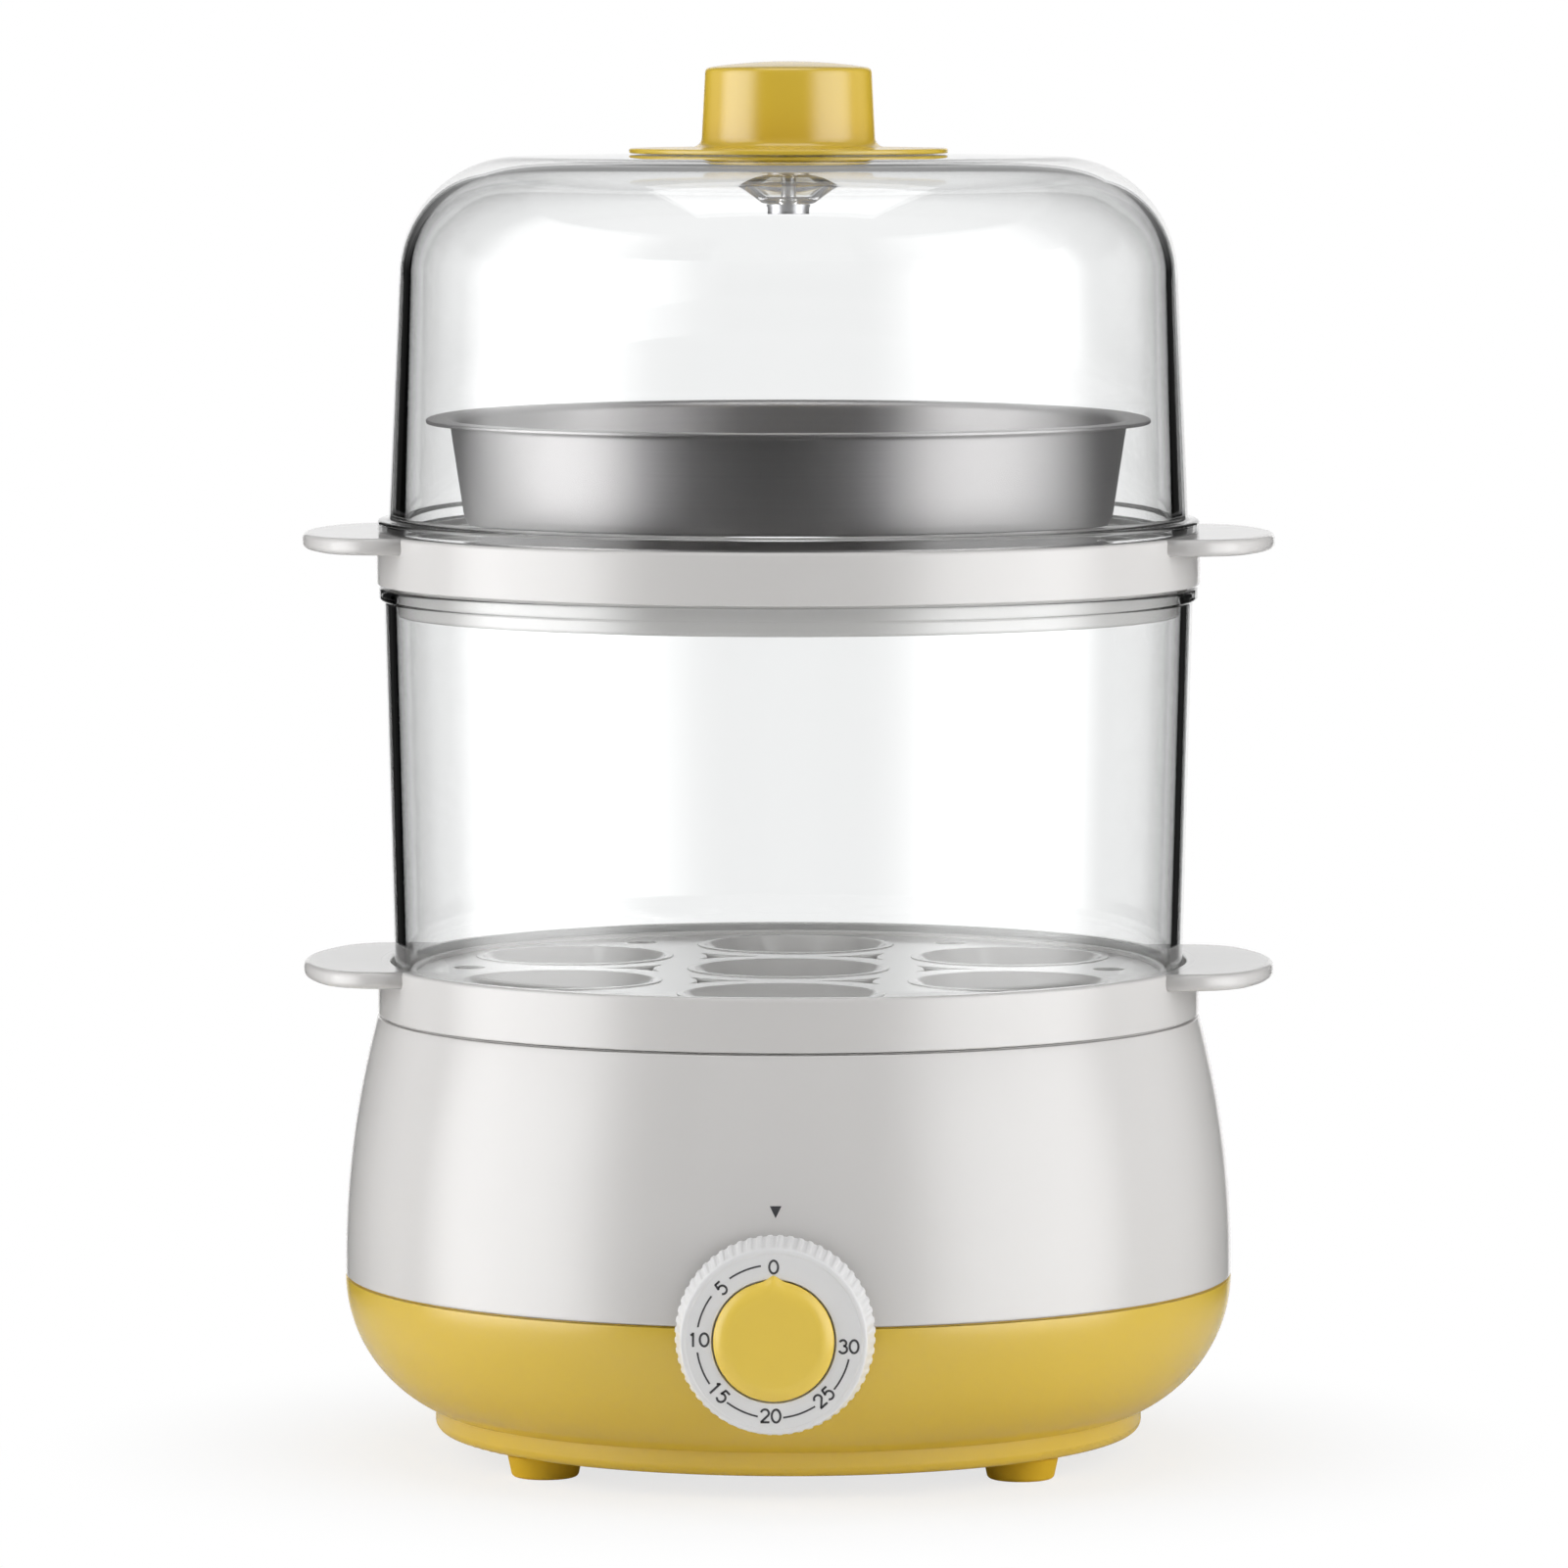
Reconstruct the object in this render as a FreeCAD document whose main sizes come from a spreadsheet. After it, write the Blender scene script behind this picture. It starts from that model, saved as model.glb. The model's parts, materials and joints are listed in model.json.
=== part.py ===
import FreeCAD, Part
import Sketcher
import math
import os
import re

# Two-tier egg cooker. Millimetres, +Z up, the dial faces -Y, the feet stand on Z = 0.

DIMENSIONS = (
    # base stack, from the table up; a size that follows others is a formula
    ("foot_height", 4.6),
    ("plinth_height", 5.0),
    ("shell_height", 26.8),
    ("housing_height", 52.9),
    ("plinth_r", 71.8),
    ("plinth_round", 2.0),
    ("belly_r", 90.0),
    ("belly_flat", 3.0),
    ("rim_inset", 6.7),
    ("rim_r", "=belly_r - rim_inset"),
    ("shell_wall", 2.4),
    ("shell_curve", 29.5),
    ("tongue_height", 4.0),
    ("tongue_wall", 1.6),
    ("fit_gap", 0.2),
    ("lip_r", 58.0),
    ("rib_wall", 1.6),
    ("cover_wall", 2.2),
    ("slot_start", 16.0),
    ("slot_end", 28.0),
    ("slot_half", 1.5),
    ("screw_gap", 0.5),
    ("loose_gap", 0.3),
    ("close_gap", 0.05),
    ("press_gap", 0.02),
    # feet and case screws
    ("foot_across", 47.5),
    ("foot_along", 39.9),
    ("foot_top_r", 7.6),
    ("foot_bottom_r", 6.6),
    ("foot_stem_r", 2.4),
    ("barb_grip", 1.0),
    ("barb_height", 1.6),
    ("boss_pitch", 65.0),
    ("boss_r", 4.2),
    ("case_screw_r", 1.25),
    ("case_screw_length", 19.0),
    ("case_head_r", 2.9),
    ("case_head_height", 1.8),
    ("head_depth", 2.4),
    # well, heating plate and heater
    ("well_depth", 10.6),
    ("shelf_wall", 2.2),
    ("plate_hole_r", 61.0),
    ("seal_height", 1.0),
    ("pan_gap", 2.5),
    ("pan_r", "=plate_hole_r - pan_gap"),
    ("pan_wall", 1.2),
    ("pan_depth", 13.0),
    ("pan_round", 4.0),
    ("pan_flange_wide", 7.0),
    ("pan_flange_r", "=plate_hole_r + pan_flange_wide"),
    ("stud_pitch", "=plate_hole_r + pan_flange_wide / 2"),
    ("stud_r", 1.5),
    ("stud_length", 8.0),
    ("nut_r", 3.2),
    ("nut_height", 2.4),
    ("spreader_r", 50.0),
    ("spreader_height", 4.0),
    ("heater_r", 38.0),
    ("heater_tube_r", 3.3),
    ("heater_leg", 12.0),
    ("pin_r", 1.6),
    ("pin_length", 8.0),
    ("thermostat_r", 8.0),
    ("thermostat_height", 9.0),
    ("thermostat_rim", 1.0),
    ("thermostat_lip", 1.6),
    ("blade_wide", 6.3),
    ("blade_wall", 0.8),
    ("blade_long", 7.5),
    ("blade_offset", 4.0),
    ("bracket_half", 18.0),
    ("bracket_wide", 20.0),
    ("bracket_wall", 1.0),
    ("bracket_foot", 6.0),
    ("bracket_screw_offset", 13.5),
    ("small_screw_r", 1.45),
    ("small_screw_depth", 2.4),
    ("small_head_r", 2.5),
    ("small_head_height", 1.6),
    ("fuse_r", 2.2),
    ("fuse_length", 14.0),
    ("fuse_offset", 20.0),
    ("clip_wide", 5.0),
    ("clip_wall", 1.0),
    ("clip_ear", 8.0),
    # egg trays
    ("ring_height", 11.0),
    ("ring_wall", 2.6),
    ("ring_round", 0.8),
    ("skirt_inset", 4.3),
    ("skirt_r", "=rim_r - skirt_inset"),
    ("skirt_wall", 2.0),
    ("skirt_depth", 5.6),
    ("tray_gap", 0.6),
    ("groove_floor", 6.4),
    ("groove_web", 2.0),
    ("collar_wall", 1.6),
    ("collar_lip", 0.8),
    ("floor_level", 9.0),
    ("floor_wall", 2.0),
    ("seat_inset", 27.0),
    ("seat_pitch", "=skirt_r - seat_inset"),
    ("seat_r", 19.0),
    ("seat_hole_r", 11.0),
    ("seat_wall", 1.6),
    ("seat_rim", 0.6),
    ("seat_depth", 6.4),
    ("vent_reach", 8.0),
    ("vent_curve", 16.0),
    ("vent_hole_r", 3.0),
    ("vent_hole_inset", 14.0),
    ("vent_hole_pitch", "=skirt_r - vent_hole_inset"),
    ("tab_out", 15.1),
    ("tab_reach", "=rim_r + tab_out"),
    ("tab_half", 33.5),
    ("tab_corner", 13.0),
    ("tab_tip", 62.0),
    ("tab_height", 3.4),
    ("tab_round", 1.2),
    # clear tier
    ("tier_height", 80.4),
    ("tier_inset", 3.5),
    ("tier_draft", 2.0),
    ("tier_lip", 1.0),
    ("tier_foot_r", "=rim_r - tier_inset"),
    ("tier_top_r", "=tier_foot_r + tier_draft"),
    ("tier_lip_r", "=tier_top_r + tier_lip"),
    ("tier_lip_height", 2.6),
    ("clear_wall", 2.3),
    # steaming bowl
    ("bowl_height", 24.0),
    ("bowl_inset", 10.0),
    ("bowl_rim_wide", 4.8),
    ("bowl_draft", 3.5),
    ("bowl_rim_r", "=rim_r - bowl_inset"),
    ("bowl_top_r", "=bowl_rim_r - bowl_rim_wide"),
    ("bowl_foot_r", "=bowl_top_r - bowl_draft"),
    ("bowl_round", 6.0),
    ("bowl_wall", 0.8),
    # lid and knob
    ("lid_flange_height", 2.6),
    ("lid_spigot", 3.6),
    ("dome_inset", 2.5),
    ("dome_draft", 2.2),
    ("dome_foot_r", "=rim_r - dome_inset"),
    ("dome_height", 76.3),
    ("shoulder_r", "=dome_foot_r - dome_draft"),
    ("shoulder_curve", 24.3),
    ("crown_rise", 0.6),
    ("dimple_top_r", 8.2),
    ("dimple_foot_r", 4.4),
    ("dimple_depth", 6.0),
    ("knob_plate_r", 32.2),
    ("knob_plate_edge", 1.0),
    ("knob_disc_rise", 0.3),
    ("knob_flare_r", 19.4),
    ("knob_flare_height", 1.8),
    ("knob_flare_curve", 1.9),
    ("knob_foot_r", 17.6),
    ("knob_top_r", 16.8),
    ("knob_height", 17.2),
    ("knob_crown", 1.3),
    ("knob_round", 1.4),
    ("knob_wall", 2.2),
    ("knob_post_r", 3.8),
    ("knob_screw_r", 1.5),
    ("knob_screw_length", 13.0),
    ("knob_head_r", 4.2),
    ("knob_head_height", 1.8),
    ("washer_height", 0.6),
    # timer
    ("dial_drop", 0.8),
    ("dial_gap", 1.0),
    ("dial_depth", 11.0),
    ("dial_r", 19.5),
    ("dial_skirt", 2.0),
    ("dial_face_r", 17.7),
    ("dial_round", 1.0),
    ("dial_wall", 2.0),
    ("dial_hub_r", 6.0),
    ("dial_cap_r", 11.7),
    ("dial_cap_depth", 1.6),
    ("dial_cap_proud", 0.5),
    ("dial_cap_crown", 0.9),
    ("pointer_r", 1.3),
    ("grip_flutes", 36),
    ("flute_r", 1.0),
    ("flute_depth", 0.5),
    ("flute_stop", 3.0),
    ("socket_wall", 1.4),
    ("shaft_r", 3.0),
    ("shaft_fit", 0.05),
    ("bush_r", 4.6),
    ("timer_setback", 12.0),
    ("timer_width", 36.0),
    ("timer_tall", 28.0),
    ("timer_plate_wall", 1.5),
    ("timer_deep", 18.0),
    ("timer_wall", 1.4),
    ("timer_screw_offset", 12.5),
    ("timer_screw_rise", 8.6),
    ("timer_post_r", 4.2),
    ("timer_seat", 3.0),
    ("timer_screw_r", 1.5),
    ("timer_head_r", 2.8),
    ("timer_head_height", 1.6),
    ("leaf_rise", 8.4),
    ("leaf_gap", 1.8),
    ("leaf_wide", 8.0),
    ("leaf_long", 20.0),
    ("leaf_wall", 0.4),
    ("leaf_offset", 2.0),
    ("leaf_tip", 6.0),
    ("rivet_r", 1.0),
    ("rivet_height", 0.7),
    ("follower_height", 1.4),
    ("gear_module", 0.5),
    ("gear_teeth", 36),
    ("pinion_teeth", 10),
    ("gear_wide", 2.0),
    ("gear_step", 14.0),
    ("gear_play", 0.1),
    ("wheel_r", 3.4),
    ("wheel_wall", 0.8),
    ("wheel_hub_r", 1.5),
    ("wheel_step", 2.4),
    ("cam_r", 6.5),
    ("cam_wide", 2.0),
    ("cam_step", 9.0),
    ("cam_notch_r", 1.6),
    ("arbor_r", 0.8),
    ("spring_step", 2.4),
    ("spring_gap", 0.5),
    ("spring_strip", 0.35),
    ("spring_pitch", 1.1),
    ("spring_turns", 3.25),
    ("spring_wide", 3.5),
    # wiring
    ("gland_rise", 17.4),
    ("gland_boss_r", 9.0),
    ("gland_boss_depth", 12.0),
    ("gland_proud", 0.5),
    ("gland_neck_r", 5.9),
    ("gland_flange_r", 8.0),
    ("gland_flange_height", 2.2),
    ("gland_bore_r", 3.6),
    ("gland_collar", 2.5),
    ("block_inset", 14.0),
    ("block_y", "=lip_r - block_inset"),
    ("block_long", 30.0),
    ("block_wide", 16.0),
    ("block_high", 13.0),
    ("block_step", 9.0),
    ("wire_rise", 5.0),
    ("wire_gap", 0.4),
    ("clamp_screw_r", 2.05),
    ("clamp_screw_height", 4.0),
    ("clamp_sink", 5.5),
    ("lead_r", 1.1),
    ("lead_bend", 6.0),
    ("lead_tab", 8.0),
    ("lead_reach", 14.5),
)

doc = FreeCAD.newDocument("egg_cooker")
sheet = doc.addObject("Spreadsheet::Sheet", "dims")
for row, (alias, value) in enumerate(DIMENSIONS, 1):
    sheet.set("A%d" % row, alias)
    sheet.set("B%d" % row, str(value))
    sheet.setAlias("B%d" % row, alias)
doc.recompute()

ALIASES = {alias for alias, value in DIMENSIONS}

# Levels of the stack, as formulas over the sheet.
SHELL_Z = "(foot_height + plinth_height)"
SEAM_Z = "(foot_height + plinth_height + shell_height)"
RIM_Z = "(foot_height + plinth_height + shell_height + housing_height)"
SHELF_Z = "(" + RIM_Z + " - well_depth)"
TIER_Z = "(" + RIM_Z + " + groove_floor)"
UPPER_Z = "(" + TIER_Z + " + tier_height)"
LID_Z = "(" + UPPER_Z + " + ring_height)"
KNOB_Z = "(" + LID_Z + " + dome_height)"
DIAL_Z = "(" + SEAM_Z + " - dial_drop)"
WELL_R = "(skirt_r + tray_gap)"
FLANGE_Z = "(" + SHELF_Z + " + seal_height)"
PAN_Z = "(" + FLANGE_Z + " - pan_depth)"
HEAT_Z = "(" + PAN_Z + " - spreader_height)"
COVER_Z = "(foot_height + cover_wall)"
PLATE_Y = "(belly_r - timer_setback)"
CASE_Y = "(belly_r - timer_setback - timer_plate_wall)"
DIAL_Y = "(belly_r + dial_gap)"
GLAND_Z = "(" + SHELL_Z + " + gland_rise)"
COLLAR_R = "(skirt_r - skirt_wall - fit_gap)"


def linked(formula):
    """The formula with every sheet alias written as a link to the sheet."""
    def link(match):
        word = match.group(0)
        return "dims." + word if word in ALIASES else word
    return re.sub(r"[a-z_][a-z_0-9]*", link, str(formula))


def number(formula):
    """The value that the sheet gives a formula now."""
    return float(sheet.evalExpression(str(formula)))


def bind(item, path, formula):
    item.setExpression(path, linked(formula))


def place(item, x="0", y="0", z="0", turn=None):
    """Put an item at formulas for its position, with a fixed turn."""
    spot = FreeCAD.Vector(number(x), number(y), number(z))
    item.Placement = FreeCAD.Placement(spot, turn or FreeCAD.Rotation())
    for axis, formula in (("x", x), ("y", y), ("z", z)):
        bind(item, "Placement.Base." + axis, formula)


FORWARD = FreeCAD.Rotation(FreeCAD.Vector(1, 0, 0), 90)
BACKWARD = FreeCAD.Rotation(FreeCAD.Vector(1, 0, 0), -90)
SIDEWAYS = FreeCAD.Rotation(FreeCAD.Vector(0, 1, 0), 90)


def new_body(name):
    body = doc.addObject("PartDesign::Body", name)
    body.Label = name
    return body


def origin_feature(body, role):
    return [f for f in body.Origin.OriginFeatures if f.Role == role][0]


def new_sketch(body, plane, name, offset=None):
    sketch = body.newObject("Sketcher::SketchObject", name)
    sketch.AttachmentSupport = [(origin_feature(body, plane), "")]
    sketch.MapMode = "FlatFace"
    if offset is not None:
        bind(sketch, "AttachmentOffset.Base.z", offset)
    return sketch


def pin_point(sketch, edge, end, x, y, tag):
    """Fix one end of an edge at formulas for its two coordinates."""
    for axis, formula, line in (("X", x, -2), ("Y", y, -1)):
        value = number(formula)
        if abs(value) < 1e-9:
            sketch.addConstraint(Sketcher.Constraint("PointOnObject", edge, end, line))
            continue
        index = sketch.addConstraint(Sketcher.Constraint("Distance" + axis, -1, 1, edge, end, value))
        sketch.renameConstraint(index, tag + axis.lower())
        bind(sketch, "Constraints." + tag + axis.lower(), formula)


def outline(sketch, points, tag="p"):
    """A closed loop through points (x, y) or (x, y, radius, side): the arc then leads to the next point."""
    spots = [FreeCAD.Vector(number(p[0]), number(p[1]), 0) for p in points]
    edges = []
    for i, point in enumerate(points):
        a = spots[i]
        b = spots[(i + 1) % len(points)]
        if len(point) == 2:
            edges.append((sketch.addGeometry(Part.LineSegment(a, b), False), 1, 2))
            continue
        radius = number(point[2])
        side = point[3]
        chord = b - a
        rise = math.sqrt(radius ** 2 - (chord.Length / 2) ** 2)
        normal = FreeCAD.Vector(-chord.y, chord.x, 0).normalize()
        centre = (a + b) * 0.5 + normal * (side * rise)
        first, last = (a, b) if side > 0 else (b, a)
        start = math.atan2(first.y - centre.y, first.x - centre.x)
        stop = math.atan2(last.y - centre.y, last.x - centre.x)
        circle = Part.Circle(centre, FreeCAD.Vector(0, 0, 1), radius)
        edge = sketch.addGeometry(Part.ArcOfCircle(circle, start, stop), False)
        edges.append((edge, 1, 2) if side > 0 else (edge, 2, 1))
        index = sketch.addConstraint(Sketcher.Constraint("Radius", edge, radius))
        sketch.renameConstraint(index, "%s%dr" % (tag, i))
        bind(sketch, "Constraints.%s%dr" % (tag, i), point[2])
    for i, (edge, head, tail) in enumerate(edges):
        after, after_head, after_tail = edges[(i + 1) % len(edges)]
        sketch.addConstraint(Sketcher.Constraint("Coincident", edge, tail, after, after_head))
    for i, point in enumerate(points):
        pin_point(sketch, edges[i][0], edges[i][1], point[0], point[1], "%s%d" % (tag, i))


def ring(sketch, x, y, radius, tag):
    """A circle at formulas for its centre and radius."""
    centre = FreeCAD.Vector(number(x), number(y), 0)
    edge = sketch.addGeometry(Part.Circle(centre, FreeCAD.Vector(0, 0, 1), number(radius)), False)
    pin_point(sketch, edge, 3, x, y, tag)
    index = sketch.addConstraint(Sketcher.Constraint("Radius", edge, number(radius)))
    sketch.renameConstraint(index, tag + "r")
    bind(sketch, "Constraints." + tag + "r", radius)


def spun(body, sketch, kind="PartDesign::Revolution", axis="V_Axis"):
    feature = body.newObject(kind, sketch.Name + "_spin")
    feature.Profile = sketch
    feature.ReferenceAxis = (sketch, [axis])
    feature.Angle = 360
    sketch.Visibility = False
    doc.recompute()
    return feature


def raised(body, sketch, length, back=False, kind="PartDesign::Pad"):
    feature = body.newObject(kind, sketch.Name + "_" + kind.split("::")[1].lower())
    feature.Profile = sketch
    bind(feature, "Length", length)
    feature.Reversed = back
    sketch.Visibility = False
    doc.recompute()
    return feature


def sunk(body, sketch, length, back=False):
    return raised(body, sketch, length, back, "PartDesign::Pocket")


def around(body, features, count, name):
    pattern = body.newObject("PartDesign::PolarPattern", name)
    pattern.Originals = features
    pattern.Axis = (origin_feature(body, "Z_Axis"), [""])
    pattern.Angle = 360
    pattern.Occurrences = int(count)
    body.Tip = pattern
    doc.recompute()
    return pattern


def rounded(body, base, radius, test, name):
    """Round every edge of the base feature that passes the test."""
    names = ["Edge%d" % (i + 1) for i, edge in enumerate(base.Shape.Edges) if test(edge)]
    feature = body.newObject("PartDesign::Fillet", name)
    feature.Base = (base, names)
    bind(feature, "Radius", radius)
    doc.recompute()
    return feature


def lathe(name, points):
    """A body turned about its own Z axis."""
    body = new_body(name)
    sketch = new_sketch(body, "XZ_Plane", name + "_section")
    outline(sketch, points)
    return body, spun(body, sketch)


def cylinder(name, radius, height, x="0", y="0", z="0", turn=None):
    item = doc.addObject("Part::Cylinder", name)
    bind(item, "Radius", radius)
    bind(item, "Height", height)
    place(item, x, y, z, turn)
    return item


def cone(name, low, high, height, x="0", y="0", z="0", turn=None):
    item = doc.addObject("Part::Cone", name)
    bind(item, "Radius1", low)
    bind(item, "Radius2", high)
    bind(item, "Height", height)
    place(item, x, y, z, turn)
    return item


def block(name, long, wide, high, x="0", y="0", z="0"):
    """A box centred on x and y and standing on z."""
    item = doc.addObject("Part::Box", name)
    bind(item, "Length", long)
    bind(item, "Width", wide)
    bind(item, "Height", high)
    place(item, "(%s) - (%s) / 2" % (x, long), "(%s) - (%s) / 2" % (y, wide), z)
    return item


def joined(name, items):
    item = doc.addObject("Part::MultiFuse", name)
    item.Shapes = items
    item.Label = name
    return item


def cut_from(name, base, tools):
    item = doc.addObject("Part::Cut", name)
    item.Base = base
    item.Tool = tools[0] if len(tools) == 1 else group(name + "_tools", tools)
    item.Label = name
    return item


def group(name, items):
    item = doc.addObject("Part::Compound", name)
    item.Links = items
    item.Label = name
    return item


def spoke(pitch, degrees):
    """Formulas for a point on a pitch circle."""
    return "(%s) * cos(%s deg)" % (pitch, degrees), "(%s) * sin(%s deg)" % (pitch, degrees)


def arc_through(dx, dy):
    """Radius of an arc that starts along one axis and covers dx across and dy along."""
    return "(((%s)^2 + (%s)^2) / (2 * (%s)))" % (dx, dy, dx)


PARTS = {}


def keep(name, item):
    item.Label = name
    PARTS[name] = item


# Upper housing: belly wall, well for the lower tray, shelf for the heating plate, bosses.
bulge_z = "(" + SEAM_Z + " + belly_flat)"
shelf_low = "(" + SHELF_Z + " - shelf_wall)"
belly_arc = arc_through("belly_r - rim_r", RIM_Z + " - " + bulge_z)
inner_arc = arc_through("belly_r - shell_wall - rim_r", shelf_low + " - " + bulge_z)
housing, spin = lathe("housing_body", [
    ("belly_r", SEAM_Z),
    ("belly_r", bulge_z, belly_arc, 1),
    ("rim_r", RIM_Z),
    (WELL_R, RIM_Z),
    (WELL_R, SHELF_Z),
    ("plate_hole_r", SHELF_Z),
    ("plate_hole_r", shelf_low),
    ("rim_r", shelf_low, inner_arc, -1),
    ("belly_r - shell_wall", bulge_z),
    ("belly_r - shell_wall", SEAM_Z),
])
boss_low = "(" + SHELL_Z + " + shell_wall)"
sketch = new_sketch(housing, "XY_Plane", "case_boss", boss_low)
ring(sketch, "boss_pitch", "0", "boss_r", "boss")
boss = raised(housing, sketch, shelf_low + " - " + boss_low + " + shelf_wall / 2")
sketch = new_sketch(housing, "XY_Plane", "case_pilot", boss_low)
ring(sketch, "boss_pitch", "0", "case_screw_r + close_gap", "pilot")
pilot = sunk(housing, sketch, "case_screw_length", True)
around(housing, [boss, pilot], 3, "case_bosses")
sketch = new_sketch(housing, "XY_Plane", "stud_hole", SHELF_Z)
stud_x, stud_y = spoke("stud_pitch", 60)
ring(sketch, stud_x, stud_y, "stud_r + loose_gap", "stud")
hole = sunk(housing, sketch, "shelf_wall")
around(housing, [hole], 3, "stud_holes")
posts = []
drills = []
screw_z = "(" + SEAM_Z + " + timer_screw_rise)"
for side, tag in (("-1", "left"), ("1", "right")):
    x = side + " * timer_screw_offset"
    posts.append(cylinder("timer_post_" + tag, "timer_post_r", "timer_setback - shell_wall + fit_gap",
                          x, "-" + PLATE_Y, screw_z, FORWARD))
    drills.append(cylinder("timer_hole_" + tag, "timer_screw_r + fit_gap", "timer_setback",
                           x, "-" + PLATE_Y, screw_z, FORWARD))
    drills.append(cylinder("timer_sink_" + tag, "timer_head_r + loose_gap", "timer_seat + 1",
                           x, "-(belly_r - timer_seat)", screw_z, FORWARD))


def shaft_notch(name):
    """Round opening at the seam for the bush of the timer."""
    return cylinder(name, "bush_r + loose_gap", "timer_setback + 1", "0", "-" + PLATE_Y, DIAL_Z, FORWARD)


drills.append(shaft_notch("shaft_notch_upper"))
keep("upper_housing", cut_from("upper_housing", joined("housing_with_posts", [housing] + posts), drills))

# Lower shell: curved wall with a tongue at the seam, a lip for the plinth and a boss for the gland.
tongue_r = "(belly_r - shell_wall - fit_gap)"
tongue_in = "(belly_r - shell_wall - fit_gap - tongue_wall)"
shell, spin = lathe("shell_body", [
    ("plinth_r + 0.6", SHELL_Z, "shell_curve", 1),
    ("belly_r", SEAM_Z),
    (tongue_r, SEAM_Z),
    (tongue_r, SEAM_Z + " + tongue_height"),
    (tongue_in, SEAM_Z + " + tongue_height"),
    (tongue_in, SEAM_Z + " - tongue_height", "shell_curve - shell_wall", -1),
    ("plinth_r - 1", SHELL_Z + " + shell_wall"),
    ("lip_r", SHELL_Z + " + shell_wall"),
    ("lip_r", SHELL_Z),
])
sketch = new_sketch(shell, "XY_Plane", "case_clearance", SHELL_Z + " + shell_wall")
ring(sketch, "boss_pitch", "0", "case_screw_r + screw_gap", "clear")
hole = sunk(shell, sketch, "shell_wall")
around(shell, [hole], 3, "case_clearances")
gland_out = "(belly_r + gland_proud)"
gland_in = "(belly_r + gland_proud - gland_boss_depth)"
boss = cylinder("gland_boss", "gland_boss_r", "gland_boss_depth", "0", gland_in, GLAND_Z, BACKWARD)
neck_hole = "gland_neck_r + close_gap"
hole_long = "gland_boss_depth + gland_flange_height"
bore = cylinder("gland_hole", neck_hole, hole_long, "0", gland_in, GLAND_Z, BACKWARD)
notch = shaft_notch("shaft_notch_lower")
keep("lower_shell", cut_from("lower_shell", joined("shell_with_boss", [shell, boss]), [bore, notch]))

# Plinth: shallow cover with screw pillars, holes for the feet and vent slots.
cover, spin = lathe("cover_body", [
    ("0", "foot_height"),
    ("plinth_r - plinth_round", "foot_height", "plinth_round", 1),
    ("plinth_r", "foot_height + plinth_round"),
    ("plinth_r", SHELL_Z),
    ("plinth_r - cover_wall", SHELL_Z),
    ("plinth_r - cover_wall", COVER_Z),
    ("lip_r - fit_gap", COVER_Z),
    ("lip_r - fit_gap", SHELL_Z + " + shell_wall"),
    ("lip_r - fit_gap - rib_wall", SHELL_Z + " + shell_wall"),
    ("lip_r - fit_gap - rib_wall", COVER_Z),
    ("0", COVER_Z),
])
sketch = new_sketch(cover, "XY_Plane", "pillar", COVER_Z + " - 0.5")
ring(sketch, "boss_pitch", "0", "boss_r", "pillar")
pillar = raised(cover, sketch, SHELL_Z + " - " + COVER_Z + " + 0.5")
sketch = new_sketch(cover, "XY_Plane", "pillar_hole", "foot_height")
ring(sketch, "boss_pitch", "0", "case_screw_r + screw_gap", "hole")
hole = sunk(cover, sketch, "plinth_height", True)
sketch = new_sketch(cover, "XY_Plane", "pillar_sink", "foot_height")
ring(sketch, "boss_pitch", "0", "case_head_r + loose_gap", "sink")
sink = sunk(cover, sketch, "head_depth", True)
around(cover, [pillar, hole, sink], 3, "pillars")
sketch = new_sketch(cover, "XY_Plane", "vent_slot", COVER_Z)
outline(sketch, [("slot_start", "-slot_half"), ("slot_end", "-slot_half"),
                 ("slot_end", "slot_half"), ("slot_start", "slot_half")])
slot = sunk(cover, sketch, "cover_wall")
around(cover, [slot], 12, "vent_slots")
FOOT_SPOTS = [(sx + " * foot_across", sy + " * foot_along") for sx in ("1", "-1") for sy in ("1", "-1")]
stems = []
for i, (x, y) in enumerate(FOOT_SPOTS):
    stems.append(cylinder("stem_hole_%d" % i, "foot_stem_r + close_gap", "cover_wall", x, y, "foot_height"))
keep("bottom_cover", cut_from("bottom_cover", cover, stems))

# Feet with stems and barbs, and the long screws that clamp cover, shell and housing.
feet = []
for i, (x, y) in enumerate(FOOT_SPOTS):
    pad = cone("foot_pad_%d" % i, "foot_bottom_r", "foot_top_r", "foot_height", x, y)
    stem = cylinder("foot_stem_%d" % i, "foot_stem_r", "foot_height + cover_wall", x, y)
    barb = cone("foot_barb_%d" % i, "foot_stem_r + barb_grip", "foot_stem_r / 2", "barb_height",
                x, y, COVER_Z)
    feet.append(joined("foot_%d" % i, [pad, stem, barb]))
keep("feet", group("feet", feet))

screws = []
seat_z = "(foot_height + head_depth)"
for i in range(3):
    x, y = spoke("boss_pitch", 120 * i)
    head_z = seat_z + " - case_head_height"
    head = cylinder("case_head_%d" % i, "case_head_r", "case_head_height", x, y, head_z)
    shank = cylinder("case_shank_%d" % i, "case_screw_r", "case_screw_length", x, y, seat_z)
    screws.append(joined("case_screw_%d" % i, [head, shank]))
keep("case_screws", group("case_screws", screws))

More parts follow.
